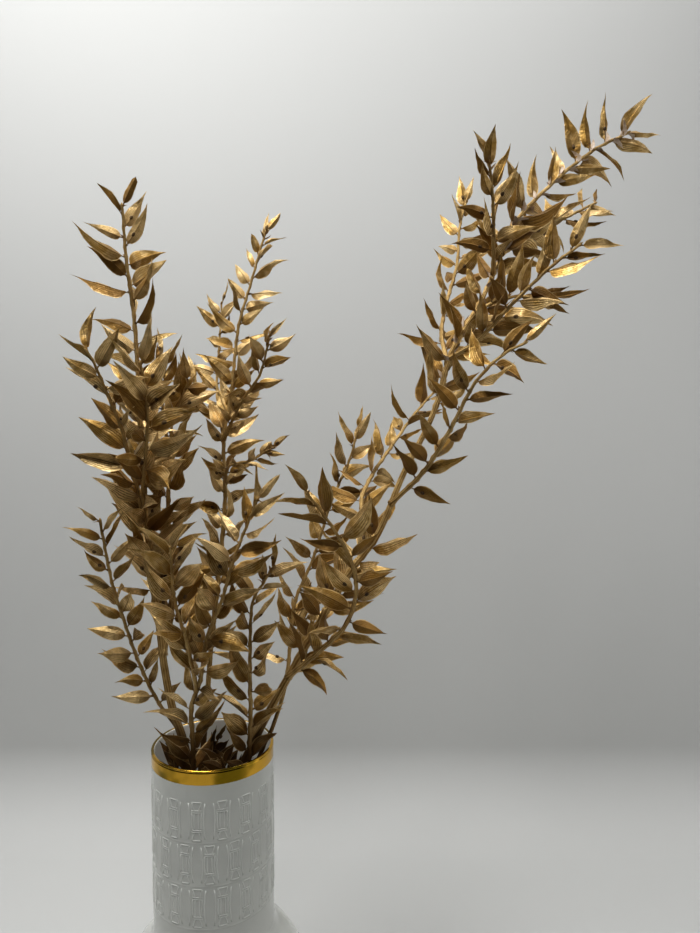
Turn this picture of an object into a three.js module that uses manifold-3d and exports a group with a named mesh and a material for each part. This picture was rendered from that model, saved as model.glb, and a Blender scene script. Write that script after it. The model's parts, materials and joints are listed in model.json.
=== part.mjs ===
// Dried ruscus stems, gilded, standing in a tall-necked ceramic vase.
// Millimetres, +Z up. The origin is the centre of the vase's flat foot; the viewer looks along +Y.
import * as THREE from "three";
import { mergeVertices } from "three/addons/utils/BufferGeometryUtils.js";
import Module from "manifold-3d";

const wasm = await Module();
wasm.setup();

// ---------------------------------------------------------------- vase
const RIM_HEIGHT = 245;
const NECK_RADIUS = 41.5;
const NECK_LENGTH = 126;
const FOOT_RADIUS = 58;
const FOOT_BEVEL = 3;
const WALL = 3.5;
const LIP_BEVEL = 1.2;
// The outside of the body, radius and height, from the foot's bevel up to the foot of the neck.
const BODY_OUTLINE = [
  [FOOT_RADIUS + FOOT_BEVEL, FOOT_BEVEL],
  [70, 32],
  [73, 60],
  [65, 84],
  [54.5, 102],
  [44.5, 112],
  [NECK_RADIUS, RIM_HEIGHT - NECK_LENGTH],
];
const VASE_SIDES = 24;
const BODY_STEPS = 8;
const GLAZE = { color: 0xdcddd8, roughness: 0.15, metalness: 0 };

// ---------------------------------------------------------------- stems
const CLEARANCE = 0.3;
const MAIN_SIDES = 5;
const TWIG_SIDES = 4;
const RING_SPACING = 36;
const TWIG_TIP_LENGTH = 1.5;
const GILDED = { color: 0xa08048, roughness: 0.45, metalness: 0.8 };

// ---------------------------------------------------------------- leaves
const STALK = 2;
const ROOT_DEPTH = 0.55;
const BLADE_THICKNESS = 1.3;
const HALF_WIDTH_TO_LENGTH = 0.18;
const WIDEST_AT = 0.32;
const OUTLINE_POWER = 1.35;
const EDGE_POINTS_ALONG = [0.15, 0.52];
// The corners of a leaf's edges, as shares of the blade: small, middling and large leaves differ.
const SMALL_LEAF = 27;
const SMALL_EDGE_POINTS_ALONG = [0.3];
const LARGE_LEAF = 36;
const LARGE_EDGE_POINTS_ALONG = [0.1, 0.34, 0.66];
// Angles are in degrees. Leaves stand in two ranks, which swing slowly about the branch.
const RANK_SWING = 34;
const RANK_SWING_LEAVES = 17;
const TILT = 54;
const TIP_TILT = 22;
const TIP_REACH = 28;
const TIP_SHORTER = 0.2;
const FOLD = 24;
const ROLL = 72;
const ARCH = -0.03;
const SHARE_FACING_FRONT = 0.8;
const SHARE_KEELED = 0.65;
// How widely single leaves stray from all that: degrees, or shares of the length or the spacing.
const STRAY = {
  place: 0.5, turn: 72, tilt: 42, roll: 76, length: 0.4, width: 0.3, arch: 0.26, sickle: 0.14,
};
// What is tried in turn until a leaf crosses nothing: added angles and a share of its size.
const TRIES = [
  { turn: 0, tilt: 0, roll: 0, size: 1 },
  { turn: 0, tilt: 0, roll: 35, size: 1 },
  { turn: 0, tilt: 0, roll: -35, size: 1 },
  { turn: 35, tilt: -8, roll: 0, size: 1 },
  { turn: -35, tilt: -8, roll: 0, size: 1 },
  { turn: 0, tilt: -25, roll: 20, size: 0.95 },
  { turn: 0, tilt: 22, roll: -20, size: 0.95 },
  { turn: 75, tilt: 0, roll: 0, size: 0.95 },
  { turn: -75, tilt: 0, roll: 0, size: 0.95 },
  { turn: 180, tilt: 0, roll: 0, size: 0.9 },
  { turn: 120, tilt: -12, roll: 30, size: 0.85 },
  { turn: -120, tilt: -12, roll: -30, size: 0.85 },
  { turn: 20, tilt: -35, roll: 60, size: 0.7 },
];

// Each branch: the branch that carries it and how far along, its radius at the base and the tip,
// the stretches that carry leaves (from, to), the leaves' spacing and length, and its route.
// A route is measured from the centre of the rim; a main stem's begins on the vase's floor.
const FLOOR = WALL + CLEARANCE - RIM_HEIGHT;
const END = 999;
const STEMS = {
  stem_left_low: {
    seed: 101,
    main: {
      radii: [1.9, 0.8], leafy: [[274, END]], spacing: 6.2, leaf: 23,
      route: [[-4, -6, FLOOR], [0, 2, -115], [-14, 5, -40], [-24, 8, 0], [-40, 6, 27],
        [-51, 0, 57], [-58, -8, 88], [-63, -16, 116], [-66, -28, 159]],
    },
  },
  stem_left_tall: {
    seed: 202,
    main: {
      radii: [4.2, 0.8], leafy: [[345, END]], spacing: 6.3, leaf: 31,
      route: [[6, -22, FLOOR], [1, -12, -115], [-11, -5, -40], [-20, -3, 2], [-28, 0, 24],
        [-34, 3, 52], [-38, 6, 80], [-43, 8, 115], [-48, 6, 189], [-49, 4, 237], [-51, 3, 288],
        [-55, 0, 330], [-56, -4, 366]],
    },
    left: {
      parent: "main", fork: 0.64, radii: [1.7, 0.7], leafy: [[8, END]], spacing: 6.3, leaf: 30,
      route: [[-49, -14, 190], [-52, -24, 217], [-57, -32, 236], [-63, -40, 257], [-67, -44, 266]],
    },
    front: {
      parent: "main", fork: 0.56, radii: [1.5, 0.7], leafy: [[10, END]], spacing: 7.2, leaf: 33,
      route: [[-43, -10, 168], [-37, -24, 200], [-32, -36, 230], [-33, -46, 258]],
    },
    right: {
      parent: "main", fork: 0.5, radii: [2.2, 0.7], leafy: [[22, END]], spacing: 6.6, leaf: 28,
      route: [[-31, 12, 90], [-33, 20, 118], [-36, 26, 162], [-36, 32, 195], [-42, 38, 231],
        [-44, 42, 271]],
    },
    twig: {
      parent: "right", fork: 0.62, radii: [1.1, 0.6], leafy: [[6, END]], spacing: 6.6, leaf: 25,
      route: [[-31, 22, 222], [-16, 8, 251]],
    },
  },
  stem_centre_tall: {
    seed: 303,
    main: {
      radii: [2.7, 0.7], leafy: [[310, END]], spacing: 6, leaf: 24,
      route: [[-34, 8, FLOOR], [-22, 12, -115], [-11, 16, -15], [-8, 20, 25], [-5, 24, 67],
        [0, 28, 116], [4, 32, 166], [3, 34, 209], [8, 38, 242], [13, 42, 291], [22, 46, 325],
        [33, 50, 365]],
    },
    right: {
      parent: "main", fork: 0.74, radii: [1.2, 0.6], leafy: [[8, END]], spacing: 5.8, leaf: 21,
      route: [[18, 20, 236], [33, 8, 255], [41, 0, 281]],
    },
    left: {
      parent: "main", fork: 0.74, radii: [1.2, 0.6], leafy: [[10, END]], spacing: 6.2, leaf: 23,
      route: [[-5, 52, 247], [-5, 64, 282], [-4, 70, 315]],
    },
    low: {
      parent: "main", fork: 0.68, radii: [1.1, 0.6], leafy: [[8, END]], spacing: 5.2, leaf: 16,
      route: [[10, 14, 191], [27, 2, 196], [43, -6, 205]],
    },
    twig: {
      parent: "main", fork: 0.76, radii: [1.0, 0.6], leafy: [[8, END]], spacing: 6.2, leaf: 23,
      route: [[-15, 50, 236], [-25, 58, 261]],
    },
    mouth: {
      parent: "main", fork: 0.33, radii: [1.1, 0.7], leafy: [[14, END]], spacing: 5, leaf: 21,
      route: [[-6, 7, -24], [2, -2, 1]],
    },
  },
  stem_centre_low: {
    seed: 404,
    main: {
      radii: [2.5, 0.7], leafy: [[220, END]], spacing: 6, leaf: 27,
      route: [[-12, -36, FLOOR], [-8, -27, -115], [-9, -22, 0], [-9, -26, 34], [-2, -30, 55],
        [4, -36, 85], [15, -42, 111], [23, -46, 137], [39, -52, 175]],
    },
    left: {
      parent: "main", fork: 0.68, radii: [1.3, 0.7], leafy: [[10, END]], spacing: 6.2, leaf: 27,
      route: [[-8, -40, 82], [-14, -46, 112], [-15, -50, 145]],
    },
    mouth: {
      parent: "main", fork: 0.46, radii: [1.1, 0.7], leafy: [[14, END]], spacing: 5, leaf: 21,
      route: [[-17, -22, -24], [-24, -17, 2]],
    },
  },
  stem_centre_short: {
    seed: 505,
    main: {
      radii: [2.8, 0.7], leafy: [[224, END]], spacing: 6, leaf: 26,
      route: [[26, -16, FLOOR], [21, -14, -115], [27, -16, -3], [29, -20, 31], [29, -22, 52],
        [31, -26, 101], [39, -30, 118], [46, -34, 129]],
    },
    mouth: {
      parent: "main", fork: 0.52, radii: [1.1, 0.7], leafy: [[14, END]], spacing: 5, leaf: 20,
      route: [[17, -21, -22], [9, -24, 1]],
    },
  },
  stem_right_tall: {
    seed: 606,
    main: {
      radii: [3.9, 0.8], leafy: [[318, 415], [515, END]], spacing: 6.3, leaf: 30,
      route: [[-30, 30, FLOOR], [-12, 18, -115], [10, 9, -40], [26, 6, -5], [35, 4, 14],
        [56, 0, 53], [78, -2, 92], [96, -4, 122], [114, -4, 147], [131, -4, 187], [151, -2, 227],
        [164, 0, 270], [183, 2, 303], [195, 4, 329], [206, 6, 356], [230, 10, 382],
        [260, 14, 407], [288, 18, 422]],
    },
    low_front: {
      parent: "main", fork: 0.4, radii: [1.9, 0.7], leafy: [[12, END]], spacing: 8.2, leaf: 30,
      route: [[74, -20, 70], [91, -36, 91], [98, -46, 111], [98, -54, 129], [92, -60, 146],
        [82, -65, 163], [70, -70, 180]],
    },
    low_back: {
      parent: "main", fork: 0.55, radii: [1.7, 0.7], leafy: [[12, END]], spacing: 7, leaf: 27,
      route: [[103, 16, 164], [110, 34, 182], [127, 48, 206], [145, 58, 230], [164, 64, 251]],
    },
    front: {
      parent: "main", fork: 0.585, radii: [1.7, 0.7], leafy: [[20, END]], spacing: 7.2, leaf: 28,
      route: [[143, -22, 190], [157, -38, 216], [170, -50, 244], [184, -58, 260],
        [198, -64, 268]],
    },
    upper_back: {
      parent: "main", fork: 0.72, radii: [1.6, 0.7], leafy: [[12, END]], spacing: 6, leaf: 27,
      route: [[159, 18, 284], [164, 32, 307], [173, 42, 337], [176, 50, 366], [182, 56, 388]],
    },
    upper_front: {
      parent: "main", fork: 0.725, radii: [1.5, 0.7], leafy: [[10, END]], spacing: 6, leaf: 27,
      route: [[178, -16, 275], [196, -34, 295], [215, -48, 314], [231, -58, 326]],
    },
    middle_front: {
      parent: "main", fork: 0.75, radii: [1.4, 0.7], leafy: [[10, END]], spacing: 6, leaf: 27,
      route: [[184, -6, 298], [202, -12, 304], [222, -18, 302]],
    },
    upper_left: {
      parent: "main", fork: 0.81, radii: [1.4, 0.7], leafy: [[8, END]], spacing: 6, leaf: 26,
      route: [[189, -10, 351], [186, -20, 369], [182, -28, 387]],
    },
    upper_right: {
      parent: "main", fork: 0.83, radii: [1.4, 0.7], leafy: [[8, END]], spacing: 6, leaf: 27,
      route: [[224, 24, 354], [249, 38, 369], [276, 48, 384]],
    },
  },
  stem_right_low: {
    seed: 707,
    main: {
      radii: [2.2, 0.7], leafy: [[296, END]], spacing: 7.4, leaf: 27,
      route: [[16, 10, FLOOR], [10, 2, -115], [22, -1, -40], [35, -3, -2], [41, 2, 10],
        [49, 10, 35], [52, 17, 61], [55, 24, 92], [68, 30, 123], [82, 36, 166], [94, 40, 193],
        [101, 44, 218]],
    },
    twig: {
      parent: "main", fork: 0.66, radii: [1.0, 0.6], leafy: [[8, END]], spacing: 6.8, leaf: 22,
      route: [[61, 34, 78], [67, 44, 92], [75, 52, 105]],
    },
  },
};

// A repeatable row of draws from 0 to 1, by the usual 32-bit congruence.
function draws(seed) {
  let state = seed;
  return () => {
    state = (Math.imul(state, 1664525) + 1013904223) >>> 0;
    return state / 2 ** 32;
  };
}

const radians = THREE.MathUtils.degToRad;

// The direction an angle of the way from one direction to another that is square to it.
function between(from, to, angle) {
  return from.clone().multiplyScalar(Math.cos(angle)).addScaledVector(to, Math.sin(angle));
}

// A closed skin over a row of rings. A ring of one point closes an end.
function loft(rings) {
  const points = rings.flat();
  const triangles = [];
  let low = 0;
  for (let row = 0; row + 1 < rings.length; row += 1) {
    const high = low + rings[row].length;
    triangles.push(...stitch(low, rings[row].length, high, rings[row + 1].length));
    low = high;
  }
  const geometry = new THREE.BufferGeometry().setFromPoints(points);
  geometry.setIndex(triangles);
  return geometry;
}

// The triangles between one ring and the next, by the index of their first points.
function stitch(low, lowCount, high, highCount) {
  const count = Math.max(lowCount, highCount);
  const triangles = [];
  for (let side = 0; side < count; side += 1) {
    const next = (side + 1) % count;
    if (lowCount > 1) triangles.push(low + side, low + next, highCount > 1 ? high + next : high);
    if (highCount > 1) triangles.push(lowCount > 1 ? low + side : low, high + next, high + side);
  }
  return triangles;
}

// A solid for joining and crossing tests, from a closed geometry.
function solidOf(geometry) {
  const bare = new THREE.BufferGeometry();
  bare.setAttribute("position", geometry.attributes.position);
  bare.setIndex(geometry.index);
  const merged = mergeVertices(bare);
  const corners = merged.index.array;
  const kept = [];
  for (let i = 0; i < corners.length; i += 3) {
    const [a, b, c] = corners.slice(i, i + 3);
    if (a !== b && b !== c && c !== a) kept.push(a, b, c);
  }
  const vertProperties = new Float32Array(merged.attributes.position.array);
  const triVerts = new Uint32Array(kept);
  return new wasm.Manifold(new wasm.Mesh({ numProp: 3, vertProperties, triVerts }));
}

function geometryOf(solid) {
  const mesh = solid.getMesh();
  const geometry = new THREE.BufferGeometry();
  geometry.setAttribute("position", new THREE.BufferAttribute(mesh.vertProperties, 3));
  geometry.setIndex(new THREE.BufferAttribute(mesh.triVerts, 1));
  geometry.computeVertexNormals();
  return geometry;
}

// ---------------------------------------------------------------- vase

// The wall's profile from the foot up to the neck, at a depth below its outside: a full body, a
// round shoulder and the hollow where the shoulder meets the neck.
function bodyPoints(depth) {
  const knots = BODY_OUTLINE.map(([radius, height]) => new THREE.Vector2(radius, height));
  const curve = new THREE.SplineCurve(knots);
  const points = [];
  for (let step = 0; step <= BODY_STEPS; step += 1) {
    const along = curve.getTangent(step / BODY_STEPS);
    const inward = new THREE.Vector2(-along.y, along.x).multiplyScalar(depth);
    points.push(curve.getPoint(step / BODY_STEPS).add(inward));
  }
  return points;
}

// The whole vase turned from one profile: foot, outside, lip, inside and floor.
function vaseGeometry() {
  const inside = bodyPoints(WALL).filter((point) => point.y > WALL + FOOT_BEVEL);
  const profile = [
    new THREE.Vector2(0, 0),
    new THREE.Vector2(FOOT_RADIUS, 0),
    ...bodyPoints(0),
    new THREE.Vector2(NECK_RADIUS, RIM_HEIGHT - LIP_BEVEL),
    new THREE.Vector2(NECK_RADIUS - LIP_BEVEL, RIM_HEIGHT),
    new THREE.Vector2(NECK_RADIUS - WALL + LIP_BEVEL, RIM_HEIGHT),
    new THREE.Vector2(NECK_RADIUS - WALL, RIM_HEIGHT - LIP_BEVEL),
    ...inside.reverse(),
    new THREE.Vector2(FOOT_RADIUS - WALL, WALL),
    new THREE.Vector2(0, WALL),
  ];
  const lathe = new THREE.LatheGeometry(profile, VASE_SIDES);
  lathe.rotateX(Math.PI / 2);
  return lathe;
}

// ---------------------------------------------------------------- stems

// A branch's route as a smooth curve. A side branch starts inside the branch that carries it.
function routeCurve(branch, parentCurve) {
  const points = branch.route.map(([x, y, z]) => new THREE.Vector3(x, y, RIM_HEIGHT + z));
  if (parentCurve) points.unshift(parentCurve.getPointAt(branch.fork));
  return new THREE.CatmullRomCurve3(points, false, "catmullrom");
}

// Where a branch stands at a share of its length: its point, and the directions along it, to
// its right and to its back.
function frameAt(curve, share) {
  const along = curve.getTangentAt(share);
  const right = new THREE.Vector3(0, 1, 0).cross(along).normalize();
  const back = along.clone().cross(right);
  return { point: curve.getPointAt(share), along, right, back };
}

const ringSteps = (curve) => Math.ceil(curve.getLength() / RING_SPACING);

// The middle of the faceted stick, which runs straight from ring to ring.
function coreAt(curve, share) {
  const step = Math.min(Math.floor(share * ringSteps(curve)), ringSteps(curve) - 1);
  const low = curve.getPointAt(step / ringSteps(curve));
  const high = curve.getPointAt((step + 1) / ringSteps(curve));
  return low.lerp(high, share * ringSteps(curve) - step);
}

const radiusAt = (branch, share) => THREE.MathUtils.lerp(branch.radii[0], branch.radii[1], share);

// A tapered round stick along the curve. A main stem's foot is cut level.
function stickGeometry(curve, branch) {
  const isMain = !branch.parent;
  const sides = isMain ? MAIN_SIDES : TWIG_SIDES;
  const steps = ringSteps(curve);
  const rings = [];
  for (let step = 0; step <= steps; step += 1) {
    const share = step / steps;
    const { point, right, back } = frameAt(curve, share);
    const radius = radiusAt(branch, share);
    const ring = [];
    for (let side = 0; side < sides; side += 1) {
      const turn = (side / sides) * 2 * Math.PI;
      const corner = point.clone().addScaledVector(between(right, back, turn), radius);
      if (isMain && step === 0) corner.z = point.z;
      ring.push(corner);
    }
    rings.push(ring);
  }
  const end = frameAt(curve, 1);
  return loft([[curve.getPoint(0)], ...rings, [end.point.addScaledVector(end.along, TWIG_TIP_LENGTH)]]);
}

// ---------------------------------------------------------------- leaves

// Half the blade's width at a share of its length, as a share of the widest: round at the base,
// widest a third of the way up, drawn out to a point.
function outlineAt(share) {
  const bent = share ** (Math.log(0.5) / Math.log(WIDEST_AT));
  return Math.sin(Math.PI * bent) ** OUTLINE_POWER;
}

// The places of a branch's leaves along its route, in millimetres.
function leafPlaces(curve, branch, draw) {
  const end = curve.getLength() - TWIG_TIP_LENGTH;
  const places = [];
  for (const [from, to] of branch.leafy) {
    const stop = Math.min(to, end);
    const count = Math.round((stop - from) / branch.spacing);
    for (let leaf = 0; leaf <= count; leaf += 1) {
      const nudge = leaf < count ? (draw() - 0.5) * STRAY.place * branch.spacing : 0;
      places.push(Math.min(from + ((stop - from) * leaf) / count + nudge, end));
    }
  }
  return places;
}

// The habit of one leaf before anything is in its way: angles in degrees, lengths in millimetres.
function leafHabit(branch, toTip, order, draw) {
  const stray = (width) => (draw() - 0.5) * width;
  const nearTip = Math.max(0, 1 - toTip / TIP_REACH);
  const swing = RANK_SWING * Math.sin((order / RANK_SWING_LEAVES) * 2 * Math.PI);
  const turn = 180 * order + swing + stray(STRAY.turn);
  const tilt = TILT + (TIP_TILT - TILT) * nearTip + stray(STRAY.tilt);
  const roll = ROLL + stray(STRAY.roll);
  const facing = draw();
  const faces = facing < SHARE_FACING_FRONT ? 1 : -1;
  const fold = facing < SHARE_KEELED ? -FOLD : FOLD;
  const length = branch.leaf * (1 + stray(STRAY.length)) * (1 - TIP_SHORTER * nearTip);
  const halfWidth = length * HALF_WIDTH_TO_LENGTH * (1 + stray(STRAY.width));
  const arch = ARCH + stray(STRAY.arch);
  const sickle = stray(STRAY.sickle);
  return { turn, tilt, roll, faces, fold, length, halfWidth, arch, sickle };
}

// One leaf at its place: the middle of the stick there, and the leaf's own three directions.
// Ahead runs along its midrib, face out of its upper side and across over its width.
function placeLeaf(frame, habit, attempt) {
  const turn = radians(habit.turn + attempt.turn);
  const tilt = radians(habit.tilt + attempt.tilt);
  const outward = between(frame.right, frame.back, turn);
  const ahead = between(frame.along, outward, tilt);
  const up = between(outward.clone().negate(), frame.along, tilt);
  const aside = outward.clone().cross(frame.along);
  const frontward = aside.y < 0 ? 1 : -1;
  const roll = radians(habit.roll + attempt.roll) * frontward * habit.faces;
  const face = between(up, aside, roll);
  const across = ahead.clone().cross(face);
  const { fold, arch, sickle } = habit;
  return {
    middle: frame.point, radius: frame.radius, ahead, face, across, fold, arch, sickle,
    length: habit.length * attempt.size, halfWidth: habit.halfWidth * attempt.size,
  };
}

// A point of the leaf's midrib, at a share of the blade's length.
function midribAt(leaf, share) {
  const bow = leaf.length * share * share;
  return leaf.middle.clone()
    .addScaledVector(leaf.ahead, leaf.radius + STALK + leaf.length * share)
    .addScaledVector(leaf.face, leaf.arch * bow)
    .addScaledVector(leaf.across, leaf.sickle * bow);
}

function edgeShares(length) {
  if (length < SMALL_LEAF) return SMALL_EDGE_POINTS_ALONG;
  return length < LARGE_LEAF ? EDGE_POINTS_ALONG : LARGE_EDGE_POINTS_ALONG;
}

// A folded blade: its outline rises or falls from the midrib to both sharp edges, and each face is
// a fan from the thickest place of the midrib to that outline, so both faces are split alike.
// Room is added on every side for the test of what the leaf crosses.
function leafGeometry(leaf, room) {
  const rise = Math.tan(radians(leaf.fold));
  const shares = edgeShares(leaf.length);
  const edge = (share, sign) => {
    const half = leaf.halfWidth * outlineAt(share) + room;
    return midribAt(leaf, share)
      .addScaledVector(leaf.across, sign * half)
      .addScaledVector(leaf.face, half * rise);
  };
  const root = leaf.middle.clone().addScaledVector(leaf.ahead, leaf.radius * (1 - ROOT_DEPTH));
  const point = midribAt(leaf, 1).addScaledVector(leaf.ahead, room);
  const left = shares.map((share) => edge(share, -1));
  const right = shares.map((share) => edge(share, 1)).reverse();
  const outline = [root, ...left, point, ...right];
  const thick = BLADE_THICKNESS / 2 + room;
  const upper = midribAt(leaf, WIDEST_AT).addScaledVector(leaf.face, thick);
  const lower = midribAt(leaf, WIDEST_AT).addScaledVector(leaf.face, -thick);
  return loft([[upper], outline, [lower]]);
}

// ---------------------------------------------------------------- building without crossings

// Everything that stands so far: the node it belongs to, its solid and its box.
const standing = [];

function boxOf(solid) {
  const { min, max } = solid.boundingBox();
  return new THREE.Box3(new THREE.Vector3(...min), new THREE.Vector3(...max));
}

function stand(node, kind, solid) {
  standing.push({ node, kind, solid, box: boxOf(solid) });
}

function crosses(solid, isNeighbour) {
  const box = boxOf(solid);
  return standing.some((other) => isNeighbour(other) && box.intersectsBox(other.box)
    && !solid.intersect(other.solid).isEmpty());
}

// The leaf in the first try that crosses nothing, or else in the first that crosses only leaves
// of its own stem. There is no leaf where every try crosses another stem or the vase.
function settleLeaf(node, frame, habit) {
  const isForeign = (other) => other.node !== node;
  const isOwnLeaf = (other) => other.node === node && other.kind === "leaf";
  let spare = null;
  for (const attempt of TRIES) {
    const leaf = placeLeaf(frame, habit, attempt);
    const padded = solidOf(leafGeometry(leaf, CLEARANCE));
    if (crosses(padded, isForeign)) continue;
    if (!crosses(padded, isOwnLeaf)) return leaf;
    spare = spare ?? leaf;
  }
  return spare;
}

// A stem's branches with their curves, each after the branch that carries it.
function branchesOf({ seed, ...named }) {
  const curves = {};
  return Object.entries(named).map(([name, branch]) => {
    curves[name] = routeCurve(branch, curves[branch.parent]);
    return { branch, curve: curves[name] };
  });
}

function growSticks(node, stem) {
  for (const { branch, curve } of branchesOf(stem)) {
    stand(node, "stick", solidOf(stickGeometry(curve, branch)));
  }
}

function growLeaves(node, stem) {
  const draw = draws(stem.seed);
  for (const { branch, curve } of branchesOf(stem)) {
    const length = curve.getLength();
    leafPlaces(curve, branch, draw).forEach((place, order) => {
      const share = place / length;
      const habit = leafHabit(branch, length - place, order, draw);
      const core = { point: coreAt(curve, share), radius: radiusAt(branch, share) };
      const frame = { ...frameAt(curve, share), ...core };
      const leaf = settleLeaf(node, frame, habit);
      if (leaf) stand(node, "leaf", solidOf(leafGeometry(leaf, 0)));
    });
  }
}

function joined(node) {
  return standing.filter((piece) => piece.node === node)
    .map((piece) => piece.solid)
    .reduce((whole, piece) => whole.add(piece));
}

const group = new THREE.Group();

function addMesh(node, finish) {
  const mesh = new THREE.Mesh(geometryOf(joined(node)), new THREE.MeshStandardMaterial(finish));
  mesh.name = node;
  group.add(mesh);
}

stand("vase", "vessel", solidOf(vaseGeometry()));
Object.entries(STEMS).forEach(([node, stem]) => growSticks(node, stem));
Object.entries(STEMS).forEach(([node, stem]) => growLeaves(node, stem));

addMesh("vase", GLAZE);
Object.keys(STEMS).forEach((node) => addMesh(node, GILDED));

export default group;
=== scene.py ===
"""Gilded dried ruscus stems standing in a white glazed vase with a gold rim.

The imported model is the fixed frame. The classes below grow the same stems with finer sticks and
leaves, turn the vase with its relief, and set the floor, the light and the camera. Sizes are in
millimetres until a mesh is made, +Z is up, and the origin is the centre of the vase's foot.
"""
import json
import logging
import math
from collections.abc import Iterator, Sequence
from dataclasses import dataclass, field, fields, replace
from enum import Enum, IntEnum

import bpy
import numpy as np
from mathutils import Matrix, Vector

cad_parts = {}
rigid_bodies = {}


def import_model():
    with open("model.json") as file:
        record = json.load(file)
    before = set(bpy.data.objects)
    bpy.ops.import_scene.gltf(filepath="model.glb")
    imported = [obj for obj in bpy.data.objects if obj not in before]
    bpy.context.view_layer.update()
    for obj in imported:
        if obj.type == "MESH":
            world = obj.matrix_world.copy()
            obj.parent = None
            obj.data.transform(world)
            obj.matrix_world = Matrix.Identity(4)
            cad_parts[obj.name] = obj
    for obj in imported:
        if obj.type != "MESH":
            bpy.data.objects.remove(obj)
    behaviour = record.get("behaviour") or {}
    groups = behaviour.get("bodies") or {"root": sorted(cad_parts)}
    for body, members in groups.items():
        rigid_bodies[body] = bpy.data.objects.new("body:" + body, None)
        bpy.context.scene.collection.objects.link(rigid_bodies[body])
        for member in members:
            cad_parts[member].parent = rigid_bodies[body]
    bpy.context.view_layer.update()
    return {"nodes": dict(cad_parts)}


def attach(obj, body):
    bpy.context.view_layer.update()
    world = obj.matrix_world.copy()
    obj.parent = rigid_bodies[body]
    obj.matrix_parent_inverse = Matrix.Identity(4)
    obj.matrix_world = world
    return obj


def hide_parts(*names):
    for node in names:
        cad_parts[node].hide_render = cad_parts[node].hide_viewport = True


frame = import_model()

MM = 0.001
RIM_HEIGHT = 245.0
NECK_RADIUS = 41.5
# Routes are measured from the centre of the rim: FLOOR is where the stems stand, and END lies
# past the tip of any branch. Painted shade darkens what lies deep in the vase's mouth: it starts
# DEEP_START above the rim and is full DEEP_REACH lower down.
FLOOR = 3.8 - RIM_HEIGHT
END = 999.0
DEEP_START = 30.0
DEEP_REACH = 28.0

Array = np.ndarray
Colour = tuple[float, float, float]
Point = tuple[float, float, float]
Pair = tuple[float, float]
Tree = bpy.types.NodeTree
Node = bpy.types.Node
Socket = bpy.types.NodeSocket

log = logging.getLogger("ruscus")


class Slot(Enum):
    """The record's material slots."""

    GLAZE = "white_glaze"
    GOLD = "gold_paint"


class Zone(IntEnum):
    """The vase's finishes, in the order of its materials."""

    OUTSIDE = 0
    BAND = 1
    INSIDE = 2


# ---------------------------------------------------------------- curves and meshes


class Draws:
    """A repeatable row of draws from 0 to 1, by the usual 32-bit congruence."""

    FACTOR = 1664525
    STEP = 1013904223

    def __init__(self, seed: int) -> None:
        """Starts the row at a seed."""
        self.state = seed

    def next(self) -> float:
        """Returns the next draw."""
        self.state = (self.state * self.FACTOR + self.STEP) & 0xFFFFFFFF
        return self.state / 2**32

    def stray(self, width: float) -> float:
        """Returns a value up to half the width either side of nought."""
        return (self.next() - 0.5) * width


def unit(vectors: Array) -> Array:
    """Returns vectors scaled to length one along their last axis."""
    return vectors / np.linalg.norm(vectors, axis=-1, keepdims=True)


def between(start: Array, end: Array, angle: float | Array) -> Array:
    """Returns the direction an angle of the way from one direction to another square to it."""
    return start * np.cos(angle) + end * np.sin(angle)


def mouth_shade_amount(points: Array) -> Array:
    """Returns how much painted shade points get, deep in the vase's mouth: 0 to 1."""
    return np.clip((RIM_HEIGHT + DEEP_START - points[..., 2]) / DEEP_REACH, 0, 1)


def tilted(along: Array, outward: Array, degrees: float) -> tuple[Array, Array]:
    """Returns the direction tilted away from a stick, and the one square to it on its upside."""
    angle = math.radians(degrees)
    return between(along, outward, angle), between(-outward, along, angle)


def spline(knots: Array, place: Array) -> tuple[Array, Array]:
    """Measures the smooth curve through all knots but the first and the last.

    Args:
        knots: the knots, one a row.
        place: where to measure: 0 at the second knot, 1 at the third, and so on.

    Returns:
        The points P1 + T1 w + (3 P2 - 3 P1 - 2 T1 - T2) w^2 + (2 P1 - 2 P2 + T1 + T2) w^3 and
        their slopes, where w is how far the place lies between P1 and P2, and the slopes at
        those knots are T1 = (P2 - P0) / 2 and T2 = (P3 - P1) / 2.
    """
    span = np.minimum(place.astype(int), len(knots) - 4)
    w = (place - span)[:, None]
    before, low, high, after = (knots[span + i] for i in range(4))
    rise, fall = (high - before) / 2, (after - low) / 2
    square = 3 * high - 3 * low - 2 * rise - fall
    cube = 2 * low - 2 * high + rise + fall
    points = low + rise * w + square * w**2 + cube * w**3
    return points, rise + 2 * square * w + 3 * cube * w**2


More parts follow.
